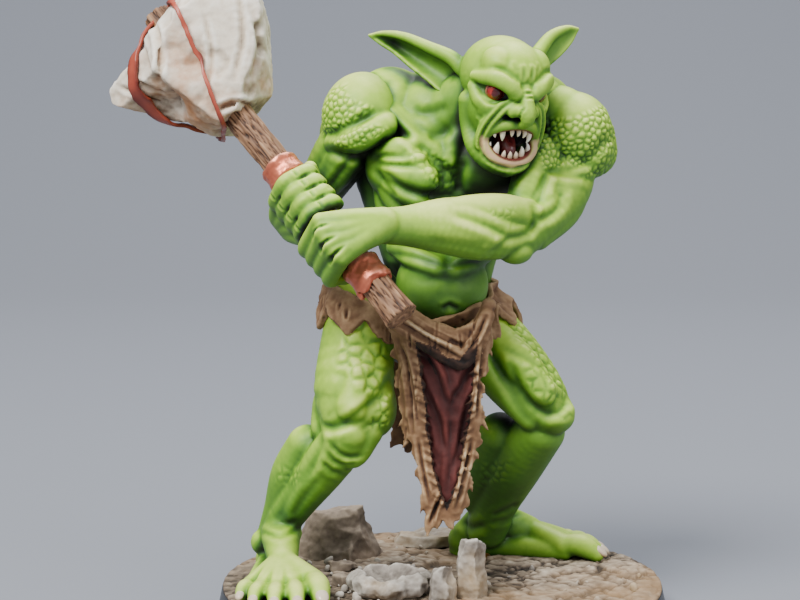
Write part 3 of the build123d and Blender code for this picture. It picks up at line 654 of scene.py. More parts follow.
handShapes = {  # fingers lie at shares of the shaft; a curl's steps are an angle, a distance and a size
    "right": {"shares": [0.414, 0.381, 0.347, 0.314], "radius": 0.98, "wrist": (-19.8, 53.4, -4.2),
              "curl": [(-112, 0.5, 1.2), (-84, 0.35, 1.1), (-45, -0.05, 1.0), (-8, 0.3, 1.06), (25, 0.0, 0.96),
                       (62, 0.1, 0.96), (96, 0.0, 0.85)],
              "thumb": ([(-19.5, 54.6, -1.5), (-17.6, 56.4, -3.6), (-16.9, 58.2, -5.6), (-17.3, 60.0, -6.6)],
                        [1.9, 1.6, 1.15, 0.95]),
              "heel": ((-20.2, 54.2, -3.4), (2.4, 2.6, 3.0))},
    "left": {"shares": [0.268, 0.237, 0.206, 0.175], "wrist": (-7.8, 52.6, -17.0), "knuckleSize": 1.12,
             "knuckles": [(-16.0, 53.0, -19.2), (-15.5, 51.2, -20.2), (-14.5, 49.6, -20.8), (-13.2, 48.2, -21.2)],
             "curl": [(-66, 4.0, 1.1), (-96, 3.1, 0.95), (-130, 2.9, 1.05), (-170, 2.8, 1.0), (-205, 2.8, 0.85)],
             "thumb": [(0.23, 40, 3.2, 2.0), (0.25, 95, 3.2, 1.5), (0.262, 150, 3.0, 1.1)]},
}
hand = handShapes["right"]
blank = bmesh.new()
wrist = at(*hand["wrist"])
for share in hand["shares"]:
    radius = hand["radius"]
    addTube(blank, [(share, angle, shaftRadius + radius * 0.8 + out) for angle, out, size in hand["curl"]],
            [radius * size for angle, out, size in hand["curl"]], roundShaft)
    knuckle = roundShaft(share, -112, 3.6)
    middle = knuckle.lerp(wrist, 0.5) + Vector((-0.7, -0.5, -0.5))
    addTube(blank, [tuple(knuckle), tuple(middle), tuple(wrist)], [1.2, 1.4, 2.3], world)
addTube(blank, *hand["thumb"])
addBall(blank, *hand["heel"])
rightArm = sculpt("rightArmFlesh", rightArmShape, 4, blank)
for first, second in zip(hand["shares"], hand["shares"][1:]):
    between = (first + second) / 2
    rightArm.groove([tuple(roundShaft(between, a, 3.1)) for a in (-118, -80, -40, 0, 40, 80, 104)], 0.26, 0.42,
                    front=False, lip=0.2)
for share in hand["shares"]:
    for angle in (-52, 22):  # creases at the finger joints
        rightArm.groove([tuple(roundShaft(share + step, angle, 3.7)) for step in (-0.011, 0.011)], 0.2, 0.16,
                        front=False)
rightArm.refresh()

hand = handShapes["left"]
blank = bmesh.new()
wrist = at(*hand["wrist"])
knuckles = [at(*place) for place in hand["knuckles"]]
for share, knuckle in zip(hand["shares"], knuckles):
    middle = wrist.lerp(knuckle, 0.55) + Vector((0, -0.8, 0.3))
    addTube(blank, [tuple(wrist), tuple(middle), tuple(knuckle)], [2.2, 1.5, hand["knuckleSize"]], world)
    curl = [tuple(roundShaft(share, angle, out)) for angle, out, size in hand["curl"]]
    curlSizes = [hand["knuckleSize"]] + [size for angle, out, size in hand["curl"]]
    addTube(blank, [tuple(knuckle)] + curl, curlSizes, world)
addTube(blank, [tuple(wrist)] + [tuple(roundShaft(share, angle, out)) for share, angle, out, size in hand["thumb"]],
        [2.2] + [size for share, angle, out, size in hand["thumb"]], world)
leftArm = sculpt("leftArmFlesh", leftArmShape, 8, blank)
for first, second in zip(knuckles, knuckles[1:]):
    between = first.lerp(second, 0.5)
    path = [wrist.lerp(between, 0.4) + Vector((0, -1.6, 0)), between + Vector((0, -0.6, 0)),
            between + Vector((-0.8, 0.3, -1.2))]
    leftArm.groove([tuple(p) for p in path], 0.28, 0.42, front=False, lip=0.5)
for first, second in zip(hand["shares"], hand["shares"][1:]):
    leftArm.groove([tuple(roundShaft((first + second) / 2, a, 3.4)) for a in (-66, -96, -130, -170)], 0.24, 0.42,
                   front=False, lip=0.2)
leftArm.refresh()
print("arms and hands modelled")

# Head, modelled facing the front and then turned: x to the figure's left, y up, z out of the face
headShape = {
    "centre": (7.8, 71.9, -5.5), "turn": 26.0, "nod": 13.0, "roll": 3.5, "voxel": 0.145,
    "nose": ([(0, 0.2, 5.5), (0, -0.7, 6.4), (0, -1.9, 7.3), (0, -3.1, 7.9), (0, -4.1, 7.6), (0, -4.7, 6.6)],
             [0.75, 0.78, 0.95, 1.0, 0.78, 0.55]),
    "sideTubes": [  # brow, cheek, jaw, nose fold, lips and nostril; each is mirrored to the other side
        ([(4.8, 0.2, 1.4), (4.3, 0.5, 3.0), (3.4, 0.65, 4.5), (2.2, 0.0, 5.7), (1.2, -0.8, 6.3)],
         [0.8, 1.1, 1.3, 1.25, 0.95]),
        ([(4.7, -1.2, 1.4), (4.4, -2.6, 2.9), (3.5, -3.3, 4.2), (2.3, -2.7, 5.3), (1.5, -1.8, 6.0)],
         [0.9, 1.0, 1.0, 0.8, 0.6]),
        ([(4.2, -3.4, 0.0), (3.9, -6.2, 0.6), (3.5, -8.6, 2.4), (2.1, -10.1, 4.0), (0.0, -10.6, 4.7)],
         [1.5, 1.4, 1.4, 1.35, 1.4]),
        ([(1.5, -2.0, 6.0), (2.5, -2.9, 5.5), (3.4, -4.6, 4.6), (3.9, -6.4, 3.9), (3.8, -8.0, 3.8)],
         [0.7, 0.85, 0.95, 0.95, 0.8]),
        ([(0.0, -4.7, 5.9), (1.6, -5.0, 5.5), (2.9, -5.8, 4.7), (3.5, -6.9, 4.0)], [0.95, 0.9, 0.75, 0.6]),
        ([(3.5, -7.1, 3.9), (3.2, -8.5, 4.6), (1.9, -9.4, 5.2), (0.0, -9.7, 5.5)], [0.62, 0.72, 0.75, 0.78]),
        ([(0.95, -2.7, 7.1), (1.4, -3.0, 6.5)], [0.8, 0.85]),
    ],
    "balls": [((0, 0, -0.4), (5.25, 5.0, 6.1)), ((0, 1.0, 1.6), (4.5, 3.9, 4.6)), ((0, -4.6, 1.4), (4.4, 4.6, 3.9)),
              ((0, -4.8, 3.4), (3.4, 2.6, 2.6)), ((0, -4.6, -3.6), (4.2, 5.6, 3.8))],
    "sideBalls": [((3.1, -3.8, 2.0), (2.0, 3.6, 2.9)), ((2.4, 1.9, 2.5), (2.4, 2.4, 2.55))],
    "creases": [  # a path, its width and depth, and on how many sides of the face it is
        ([(1.7, -1.6, 6.6), (2.6, -2.4, 6.2), (3.7, -4.4, 5.5), (4.2, -6.2, 4.9), (4.2, -8.0, 4.6), (3.4, -9.4, 4.8)],
         0.22, 0.5, 2),
        ([(0.75, 3.2, 6.0), (0.6, 1.6, 6.4), (0.75, 0.2, 6.8)], 0.24, 0.45, 2),
        ([(2.0, 3.4, 5.4), (1.7, 2.2, 5.9)], 0.22, 0.2, 2),
        ([(4.2, 2.0, 4.2), (2.9, 1.9, 5.4), (1.6, 1.1, 6.4)], 0.36, 0.16, 2),
        ([(-0.6, -0.3, 7.2), (0.6, -0.3, 7.2)], 0.18, 0.4, 1),
        ([(-0.5, -0.9, 7.6), (0.5, -0.9, 7.6)], 0.14, 0.2, 1),
        ([(4.7, -2.0, 2.9), (3.9, -2.7, 4.3), (2.6, -2.3, 5.4), (1.6, -1.4, 6.2)], 0.24, 0.45, 2),
        ([(4.6, -4.2, 3.2), (3.8, -4.7, 4.4)], 0.3, 0.3, 2),
        ([(0.75, -2.2, 8.0), (1.0, -3.4, 7.6)], 0.18, 0.3, 2),
        ([(0.0, -10.4, 5.9), (1.6, -10.2, 5.6), (3.2, -9.4, 4.7)], 0.28, 0.4, 2),
    ],
    "dents": [  # soft hollows on both sides: place, reach and depth
        ((3.2, -1.1, 4.9), (1.3, 0.6, 1.2), 0.7),
        ((0.95, -3.9, 7.1), (0.34, 0.24, 0.5), 0.3),
        ((4.6, -6.0, 2.6), (1.0, 1.8, 1.6), 0.3),
        ((4.9, 1.9, 1.8), (1.0, 1.6, 1.8), 0.25),
    ],
    "mouth": ((0, -7.35, 6.6), (3.15, 1.95, 4.6)), "eye": ((3.25, -1.05, 4.15), (1.12, 0.66, 1.15)), "eyeTilt": 14,
    "lip": [(-3.7, -7.2, 4.3), (-3.3, -8.6, 5.0), (-1.9, -9.5, 5.7), (0, -9.8, 6.0), (1.9, -9.5, 5.7),
            (3.3, -8.6, 5.0),
            (3.7, -7.2, 4.3)],
}
headMatrix = (Matrix.Translation(at(*headShape["centre"])) @ Matrix.Rotation(math.radians(headShape["turn"]), 4, "Z")
              @ Matrix.Rotation(math.radians(headShape["roll"]), 4,
                                "Y") @ Matrix.Rotation(math.radians(headShape["nod"]), 4, "X")
              @ Matrix(((1, 0, 0, 0), (0, 0, -1, 0), (0, 1, 0, 0), (0, 0, 0, 1))))


def onHead(x, y, z):
    return headMatrix @ Vector((x, y, z))


blank = bmesh.new()
addTube(blank, *headShape["nose"], onHead)
for points, radii in headShape["sideTubes"]:
    for side in (-1, 1):
        addTube(blank, [(side * x, y, z) for x, y, z in points], radii, onHead)


def addHeadBall(blank, centre, radii):
    bmesh.ops.create_icosphere(blank, subdivisions=4, radius=1.0,
                               matrix=headMatrix @ Matrix.Translation(centre) @ Matrix.Diagonal((*radii, 1)))


for centre, radii in headShape["balls"]:
    addHeadBall(blank, centre, radii)
for side in (-1, 1):
    for (x, y, z), radii in headShape["sideBalls"]:
        addHeadBall(blank, (side * x, y, z), radii)

ears = {
    "right": {"top": [(-9.7, 77.2, 1.5), (-7.6, 77.4, 0.8), (-5.1, 77.0, -0.2), (-1.8, 75.6, -1.6), (1.0, 74.3, -3.0),
                      (2.6, 72.8, -3.8)],
              "topRadii": [0.16, 0.42, 0.6, 0.78, 0.95, 1.1],
              "edge": [(-9.6, 77.1, 1.5), (-8.1, 76.1, 1.2), (-6.4, 75.0, 0.6), (-4.3, 73.2, -0.4),
                       (-2.0, 71.4, -1.6), (-0.2, 69.9, -2.8), (2.4, 68.7, -3.4)],
              "hollow": 1.5},
    "left": {"top": [(17.5, 78.0, 2.5), (15.9, 78.0, 1.6), (13.9, 77.0, 0.0), (12.2, 74.8, -2.0)],
             "topRadii": [0.2, 0.5, 0.75, 1.0],
             "edge": [(17.4, 77.8, 2.5), (16.4, 76.2, 1.9), (15.0, 74.6, 0.8), (13.5, 73.2, -0.2),
                      (12.4, 71.8, -1.4)], "hollow": 0.3},
}


def alongPath(path, t):
    points = [at(*p) for p in path]
    k = min(int(t * (len(points) - 1)), len(points) - 2)
    return points[k].lerp(points[k + 1], t * (len(points) - 1) - k)


def addEar(blank, ear, columns=26, rows=10, thickness=0.5, ragged=0.08):  # a hollowed leaf between two rounded edges
    addTube(blank, ear["top"], ear["topRadii"])
    addTube(blank, ear["edge"], [0.16] + [0.3] * (len(ear["edge"]) - 2) + [0.55])
    chance = random.Random(2)
    sheet = bmesh.new()
    bmesh.ops.create_grid(sheet, x_segments=columns, y_segments=rows, size=1.0)
    jags = [chance.uniform(0, ragged) for _ in range(columns + 1)]
    for vertex in sheet.verts:
        t, s = (vertex.co.x + 1) / 2, (vertex.co.y + 1) / 2
        s = s * (1 - jags[round(t * columns)]) if s > 0.99 else s
        sink = ear["hollow"] * math.sin(math.pi * s) * min(1, 3 * t)
        vertex.co = alongPath(ear["top"], t).lerp(alongPath(ear["edge"], t), s) + Vector((0, sink, 0))
    bmesh.ops.recalc_face_normals(sheet, faces=sheet.faces)
    merge(blank, thickened(sheet, thickness))


for ear in ears.values():
    addEar(blank, ear)
head = Clay("headFlesh", blank, headShape["voxel"], 5)
toHead = np.array(headMatrix.inverted())


def headPoints(clay):
    return clay.points @ toHead[:3, :3].T + toHead[:3, 3]


def dent(centre, radii, depth):  # a soft hollow, or a swelling where the depth is below 0
    local = (headPoints(head) - np.array(centre)) / np.array(radii)
    head.push(-depth * np.exp(-(local ** 2).sum(1)))


for path, width, depth, sides in headShape["creases"]:
    for side in (-1, 1)[2 - sides:]:
        head.groove([tuple(onHead(side * x, y, z)) for x, y, z in path], width, depth, front=False)
for side in (-1, 1):
    for (x, y, z), radii, depth in headShape["dents"]:
        dent((side * x, y, z), radii, depth)


def cutEllipsoid(mesh, matrix):
    cutter = bmesh.new()
    bmesh.ops.create_icosphere(cutter, subdivisions=5, radius=1.0, matrix=matrix)
    tool = bpy.data.objects.new("cutter", meshOf(cutter))
    bpy.context.scene.collection.objects.link(tool)
    result = applied(mesh, ("BOOLEAN", {"operation": "DIFFERENCE", "solver": "EXACT", "object": tool}))
    bpy.data.objects.remove(tool)
    return result


centre, radii = headShape["mouth"]
head.mesh = cutEllipsoid(head.mesh, headMatrix @ Matrix.Translation(centre) @ Matrix.Diagonal((*radii, 1)))
(x, y, z), radii = headShape["eye"]
for side in (-1, 1):
    tilt = Matrix.Rotation(math.radians(-side * headShape["eyeTilt"]), 4, "Z")
    head.mesh = cutEllipsoid(head.mesh, headMatrix @ Matrix.Translation((side * x, y,
        z)) @ tilt @ Matrix.Diagonal((*radii, 1)))
head.mesh = applied(head.mesh, ("REMESH", {"mode": "VOXEL", "voxel_size": headShape["voxel"]}),
                    ("SMOOTH", {"factor": 0.5, "iterations": 1}))
head.read()
print("head modelled")

# Painting the skin: tone is the paint's depth, from the dark wash of painted shade in the folds to the last painted
# highlight
flesh = [torso, rightArm, leftArm, rightLeg, leftLeg, head]


def treeOf(pieces):  # several worked meshes as one shape that rays can meet
    points, faces = [], []
    for clay in pieces:
        start = len(points)
        points += [Vector(p) for p in clay.points]
        faces += [tuple(start + i for i in face.vertices) for face in clay.mesh.polygons]
    return BVHTree.FromPolygons(points, faces)


def shelter(pieces, rays=9, reach=9.0, stride=5):  # how closed in each point is by the flesh round it, 0 to 1
    tree = treeOf(pieces)
    chance = random.Random(7)
    directions = []
    while len(directions) < rays:
        d = Vector((chance.uniform(-1, 1), chance.uniform(-1, 1), chance.uniform(-1, 1)))
        if 0.1 < d.length < 1:
            directions.append(d.normalized())
    for clay in pieces:
        known = np.zeros(len(clay.points))
        weight = np.zeros(len(clay.points))
        for i in range(0, len(clay.points), stride):
            normal = Vector(clay.normals[i])
            origin = Vector(clay.points[i]) + normal * 0.35
            blocked = 0.0
            for d in directions:
                ray = (d + normal * 1.15).normalized()
                hit = tree.ray_cast(origin, ray, reach)
                if hit[0] is not None:
                    blocked += 1 - hit[3] / reach
            known[i], weight[i] = blocked / rays, 1.0
        clay.shelter = np.clip(clay.spread(known, 14) / np.maximum(clay.spread(weight, 14), 1e-3), 0, 1)


shelter(flesh)
print("shelter measured")
skinMaterial = makeSkin("greenSkinPaint")
headMaterial = makeSkin("greenHeadPaint", withMouth=True)

paintedShadeAndHighlightSpots = [  # painted shade where the paint is darker, and painted highlight where it is lighter below 0: place, reach, amount
    ((0, 43, -4), 8, 0.16), ((-9, 55, 0), 6, 0.16), ((8, 52, -1), 6, 0.14), ((7, 20, 8), 9, 0.2),
    ((4, 11, 14), 6, 0.12), ((9, 31, 3), 7, 0.05),
    ((-19, 14, 4), 6, 0.05), ((4, 66, -3), 5, 0.2), ((13, 61, 3), 5, 0.08), ((-21, 53, 1), 4, 0.12),
    ((-19, 15, 2), 7, 0.08), ((4, 52.6, -16), 9, -0.16), ((-13, 31, -6), 6, -0.12), ((-12, 70, 0), 5, -0.1),
    ((17, 66, -4), 5, -0.1), ((14, 55, -5), 4, -0.08),
    ((8, 75, -9), 5, -0.1), ((-21, 7, -12), 6, -0.06), ((-4, 61, -6), 5, -0.06),
]


def paintFlesh(clay, up=0.26):
    # shelter darkens the tone as painted shade where the flesh closes round a point, and the spots below add painted
    # shade and painted highlight
    tone = toneOf(clay, 0.61, fine=0.3, broad=0.13, up=up) - 1.05 * clay.shelter
    for centre, size, amount in paintedShadeAndHighlightSpots:
        tone -= amount * np.exp(-((clay.points - np.array(at(*centre))) ** 2).sum(1) / size ** 2)
    return np.clip(tone, 0.0, 1.0)


for clay, nodes in ((torso, ["torso", "pelvis"]), (rightArm, ["right_arm", "right_hand"]),
                    (leftArm, ["left_arm", "left_hand"]),
                    (rightLeg, ["right_leg"]), (leftLeg, ["left_leg"])):
    finish(clay, nodes, "skin_green", skinMaterial, {"tone": paintFlesh(clay)})
local = headPoints(head)
centre, radii = headShape["mouth"]
inMouth = (local - np.array(centre)) / (np.array(radii) + 0.22)
inMouth = np.clip((1.0 - (inMouth ** 2).sum(1)) * 8 + 0.5, 0, 1)
# deep is painted shadow, darker further back inside the mouth
deep = np.clip((4.5 - local[:, 2]) * 1.2, 0, 1) * inMouth
lipLine = head.lineDistance([tuple(onHead(*place)) for place in headShape["lip"]], front=False)[0]
lip = np.clip((0.74 - lipLine) * 2.4, 0, 1)
headTone = np.clip(paintFlesh(head, up=0.22) + 0.01, 0, 1)
finish(head, ["head", "right_ear", "left_ear"], "skin_green", headMaterial,
       {"tone": headTone, "lip": lip, "inner": inMouth, "deep": deep})
print("skin painted")

ivoryPaint = toned("ivoryPaint", [(0.0, tint(92, 62, 44)), (0.4, tint(190, 162, 128)), (0.75, tint(240, 226, 202)),
                                  (1.0, tint(252, 246, 232))],
                   0.35, coat=0.2)
teethShape = {
    "upper": [(-2.6, -5.9, 4.9, 0.9, 0.36), (-1.75, -5.45, 5.4, 1.6, 0.5), (-0.75, -5.35, 5.9, 1.0, 0.4),
              (0.15, -5.35, 5.95, 0.95, 0.4),
              (1.15, -5.4, 5.7, 1.1, 0.4), (2.1, -5.6, 5.2, 1.7, 0.46)],
    "lower": [(-2.9, -8.5, 4.5, 1.0, 0.44), (-2.05, -9.0, 5.0, 1.6, 0.54), (-1.1, -9.2, 5.4, 0.85, 0.4),
              (-0.25, -9.3, 5.5, 0.9, 0.42),
              (0.6, -9.25, 5.45, 0.85, 0.4), (1.5, -9.1, 5.2, 1.35, 0.48), (2.5, -8.7, 4.7, 1.3, 0.44)],
}
for jaw, direction in (("upper", -1), ("lower", 1)):
    blank = bmesh.new()
    for x, y, z, length, radius in teethShape[jaw]:
        addTube(blank, [(x, y - 0.5 * direction, z - 0.25), (x * 1.02, y + direction * length * 0.5, z + 0.1),
                        (x * 0.94, y + direction * length, z - 0.02)],
                [radius, radius * 0.72, radius * 0.2], onHead)
    teeth = Clay(jaw + "Fangs", blank, 0.09, 2)
    # the teeth's tone is darker at their roots and lighter towards their tips
    rise = direction * (headPoints(teeth)[:, 1] - np.mean([t[1] for t in teethShape[jaw]]))
    finish(teeth, [jaw + "_teeth"], "nail_ivory", ivoryPaint, {"tone": np.clip(0.42 + 0.38 * rise, 0, 1)})

tongueShape = {"path": [(0, -8.2, 1.4), (0, -8.0, 3.2), (0, -8.4, 4.5)], "radii": [1.5, 1.4, 0.95],
               "groove": [(0, -6.8, 2.2), (0, -7.2, 5.1)], "stops": [(0.0, tint(30, 8, 8)), (1.0, tint(126, 44, 42))]}
blank = bmesh.new()
addTube(blank, tongueShape["path"], tongueShape["radii"], onHead)
tongue = Clay("wetTongue", blank, 0.14, 3)
tongue.groove([tuple(onHead(*place)) for place in tongueShape["groove"]], 0.3, 0.3, front=False)
tonguePaint = toned("tonguePaint", tongueShape["stops"], 0.3, coat=0.4)
finish(tongue, ["tongue"], "tongue_red", tonguePaint,
       {"tone": toneOf(tongue, 0.3)})

eyeShape = {"spacing": 0.92, "sunk": 0.27, "radius": 1.27,
            "ring": 1.5}  # ring is how far the iris reaches, as an angle
eyePaint = PaintFinish("redEyePaint", 0.18, coat=0.6)
eyePaint.set({"Base Color": eyePaint.ramp(eyePaint.read("ring"), [(0.0, tint(84, 8, 8)), (0.1, tint(110, 16, 14)),
    (0.2, tint(176, 40, 32)),
              (0.6, tint(150, 26, 24)), (0.85, tint(96, 16, 14)), (0.98, tint(176, 96, 84))])})
blank = bmesh.new()
eyeAxis = []
for side in (-1, 1):
    (x, y, z), _ = headShape["eye"]
    x *= eyeShape["spacing"]
    centre = onHead(side * x, y, z - eyeShape["sunk"])
    bmesh.ops.create_icosphere(blank, subdivisions=4, radius=eyeShape["radius"], matrix=Matrix.Translation(centre))
    gaze = (onHead(side * (x + 0.16), y - 0.1, z + 0.9) - centre).normalized()
    eyeAxis.append((np.array(centre), np.array(gaze)))
eyesMesh = meshOf(blank)
ring = []
for vertex in eyesMesh.vertices:
    centre, axis = min(eyeAxis, key=lambda e: np.linalg.norm(np.array(vertex.co) - e[0]))
    out = np.array(vertex.co) - centre
    ring.append(min(math.acos(float(np.clip(out @ axis, -1, 1))) / eyeShape["ring"], 1))
setTone(eyesMesh, ring, "ring")
show("redEyeballs", eyesMesh, ["eyes"], eyePaint.material)

nailShape = {"length": 0.82, "width": 0.62, "height": 0.36, "slope": 38}  # as shares of a toe's size
for side in ("right", "left"):
    blank = bmesh.new()
    foot = footShapes[side]
    for size, root, tip in zip(footShapes["toeSizes"], foot["roots"], foot["tips"]):
        run = (Vector((*tip, 0)) - Vector((*root, 0))).normalized()
        middle = Vector((*tip, groundHeight + 1.12 * size)) + run * 0.42 * size
        slope = Matrix.Rotation(math.radians(nailShape["slope"]), 4, "Y")
        scale = [nailShape[key] * size for key in ("length", "width", "height")]
        matrix = (Matrix.Translation(middle) @ Matrix.Rotation(math.atan2(run.y, run.x), 4, "Z") @ slope
                  @ Matrix.Diagonal((*scale, 1)))
        bmesh.ops.create_icosphere(blank, subdivisions=3, radius=1.0, matrix=matrix)
    nails = Clay(side + "ToeNails", blank, 0.11, 2)
    finish(nails, [side + "_toenails"], "nail_ivory", ivoryPaint,
           {"tone": toneOf(nails, 0.44, up=0.2)})
print("face details and nails made")


maulStone = {
    "block": [(-34.9, 80.5, -6), (-38.8, 76.7, -3), (-37.7, 72.8, -8), (-29.1, 66, -9), (-26, 68.8, -9),
              (-22.2, 69.3, -3), (-23.5, 81.6, -5),
              (-30.1, 64, -2), (-26.8, 63.9, 2), (-35.2, 67.2, -4), (-23.6, 84.5, -3), (-28, 86.3, -3),
              (-33, 83.5, -2),
              (-24, 83.5, 6), (-29, 85, 7), (-35, 80.6, 7), (-38, 74, 6), (-33, 66, 7), (-26, 65, 8), (-22, 70, 6),
              (-22.4, 78, 7), (-29, 75, 9)],
    "nose": [(-43.3, 70.2, 0), (-43, 68.2, -1), (-41.3, 72.8, 0), (-36.6, 67.2, -3), (-33.6, 65.7, -3),
             (-38.3, 75.9, -4), (-37.5, 71.8, -6),
             (-43, 69.3, 3), (-40, 73.5, 6), (-37, 67, 6), (-34, 66, 6), (-36, 77, 6), (-36, 77, -4)],
    "cracks": [
        ([(-37.4, 79), (-36.6, 75), (-36.9, 71.4)], 0.35, 0.7), ([(-31, 80), (-30, 75), (-30.6, 70)], 0.3, 0.35),
        ([(-26.6, 84), (-26.0, 77), (-27.2, 71.5)], 0.35, 0.4), ([(-42, 70.6), (-39, 69.2), (-36.4, 68.4)], 0.3, 0.4),
        ([(-41, 72), (-38.6, 70.6), (-35.4, 69.4)], 0.25, 0.3), ([(-29.5, 67.4), (-27.4, 68.4), (-25.4, 68.2)], 0.35,
            0.9),
        ([(-24.6, 80), (-23.8, 76), (-24.6, 72)], 0.3, 0.4),
    ],
    "chisels": [(24, 0.36, 5.0, 0.25), (90, 0.16, 1.8, 0.35)],  # cuts, depth, reach and tilt
    "stops": [(0.0, tint(48, 38, 32)), (0.25, tint(118, 98, 82)), (0.5, tint(192, 176, 154)),
              (0.75, tint(228, 216, 196)), (1.0, tint(250, 244, 230))],
}


def addHull(blank, corners, place=at):
    hull = bmesh.new()
    for corner in corners:
        hull.verts.new(place(*corner))
    bmesh.ops.convex_hull(hull, input=hull.verts)
    merge(blank, hull)


def chisel(clay, cuts, depth, reach, tilt=0.35):  # knocks flat facets into a rock
    for _ in range(cuts):
        i = clay.random.randrange(len(clay.points))
        normal = clay.normals[i] + np.array([clay.random.uniform(-tilt, tilt) for _ in range(3)])
        normal /= np.linalg.norm(normal)
        offset = clay.points - clay.points[i]
        over = offset @ normal + depth * clay.random.uniform(0.4, 1.0)
        near = np.clip(2.2 - 2 * np.linalg.norm(offset, axis=1) / (reach * clay.random.uniform(0.6, 1.2)), 0, 1)
        clay.points -= normal * (np.maximum(over, 0) * near)[:, None]
    clay.refresh()


def rockFinish(name, stops, stain=None, roughness=0.82):
    paint = PaintFinish(name, roughness)
    tone = paint.read("tone") + (paint.noise(130, 5) - 0.5) * 0.55 + (paint.noise(700, 4) - 0.5) * 0.4
    colour = paint.ramp(tone, stops)
    if stain:
        patches = paint.ramp(paint.noise(stain[1], 5, 0.6), [(0.5, (0, 0, 0, 1)), (0.68, (1, 1, 1, 1))])
        colour = paint.mix(patches, colour, paint.mix(0.72, colour, stain[0]))
    paint.set({"Base Color": colour})
    paint.bump(paint.noise(900, 5, 0.65), 0.35, 0.00025)
    return paint.material


blank, stoneShell = bmesh.new(), bmesh.new()
for shell in (blank, stoneShell):
    addHull(shell, maulStone["block"])
    addHull(shell, maulStone["nose"])
stone = Clay("maulStoneHead", blank, 0.28, 1, 12)
smoothStone = Clay("smoothStone", stoneShell, 0.5, 8, 12)
for cuts in maulStone["chisels"]:
    chisel(stone, *cuts)
for path, width, depth in maulStone["cracks"]:
    stone.groove(path, width, depth)
stone.rough(0.9, 0.1, octaves=3)
# painted shade on the stone's downward-facing faces; up lightens its top a little as painted highlight
below = np.clip(0.25 - stone.normals[:, 2], 0, 1)
stonePaint = rockFinish("maulStonePaint", maulStone["stops"], (tint(190, 120, 56), 95))
finish(stone, ["maul_stone"], "maul_stone_paint", stonePaint,
       {"tone": toneOf(stone, 0.74, fine=0.3, broad=0.12, up=0.06) - 0.34 * below})

strapShape = {
    "noseStrap": ("nose_strap", [(-36.6, 79.6, 1), (-39.6, 72.8, -3), (-33.9, 65.8, 1)], 2.0),
    "frontStrap": ("front_strap", [(-34.3, 80.4, -6), (-29.3, 67.8, -9), (-33.4, 75, 7)], 1.0),
}
strapPaint = toned("redStrapPaint", [(0.0, tint(52, 18, 14)), (0.4, tint(116, 40, 28)), (0.75, tint(186, 84, 60)),
                                     (1.0, tint(236, 170, 144))], 0.42)
stoneTree = treeOf([stone])
for name, (node, corners, width) in strapShape.items():
    a, b, c = (at(*corner) for corner in corners)
    normal = (b - a).cross(c - a).normalized()
    band = bmesh.new()
    band.from_mesh(smoothStone.mesh)
    for side in (1, -1):
        cut = band.verts[:] + band.edges[:] + band.faces[:]
        bmesh.ops.bisect_plane(band, geom=cut, plane_co=a + normal * side * width / 2, plane_no=normal * side,
                               clear_outer=True)
    for _ in range(6):
        bmesh.ops.smooth_vert(band, verts=band.verts, factor=0.5, use_axis_x=True, use_axis_y=True, use_axis_z=True)
    band.normal_update()
    for vertex in band.verts:
        away = min(abs((vertex.co - a).dot(normal)) / (width / 2), 1)
        lift = 0.42 + 0.14 * (1 - away ** 4) + 0.05 * noise.noise(vertex.co * 1.4)
        vertex.co += vertex.normal * lift
        rest, _, _, distance = stoneTree.find_nearest(vertex.co)
        if distance > lift:  # the strap is drawn down to the stone
            vertex.co = rest + (vertex.co - rest) * (lift / distance)
    for _ in range(4):
        bmesh.ops.smooth_vert(band, verts=band.verts, factor=0.5, use_axis_x=True, use_axis_y=True, use_axis_z=True)
    bandMesh = meshOf(thickened(band, 0.45))
    # the strap's tone is painted shade towards its edges, where it meets the stone, and painted highlight on its
    # upward-facing side
    setTone(bandMesh, [0.62 - 0.3 * min(abs((v.co - a).dot(normal)) / (width / 2), 1) ** 3 + 0.12 * v.normal.z
                       for v in bandMesh.vertices])
    show(name, bandMesh, [node], strapPaint)

handleShape = {"radius": 1.9, "grain": 0.26, "length": 0.985}
woodPaint = toned("handleWoodPaint", [(0.0, tint(34, 18, 10)), (0.3, tint(96, 64, 42)), (0.55, tint(150, 112, 80)),
                                      (0.8, tint(196, 160, 122)), (1.0, tint(226, 200, 164))],
                  0.66, (60, 500), (0.2, 0.25))
handle = bmesh.new()
shaftLength = (shaftTip - shaftFoot).length * handleShape["length"]
alongShaft = Matrix.Translation(shaftFoot) @ Matrix((frontSide, upSide, shaftRun)).transposed().to_4x4()
bmesh.ops.create_cone(handle, cap_ends=True, segments=96, radius1=handleShape["radius"],
                      radius2=handleShape["radius"], depth=shaftLength,
                      matrix=alongShaft @ Matrix.Translation((0, 0, shaftLength / 2)))
lengthwise = [e for e in handle.edges if abs((e.verts[0].co - e.verts[1].co).normalized().dot(shaftRun)) > 0.9]
bmesh.ops.subdivide_edges(handle, edges=lengthwise, cuts=150, use_grid_fill=True)
for _ in range(5):
    ends = [f for f in handle.faces if len(f.verts) > 8]
    bmesh.ops.inset_region(handle, faces=ends, thickness=0.33, use_even_offset=True)
woodTone = []
toShaft = alongShaft.inverted()
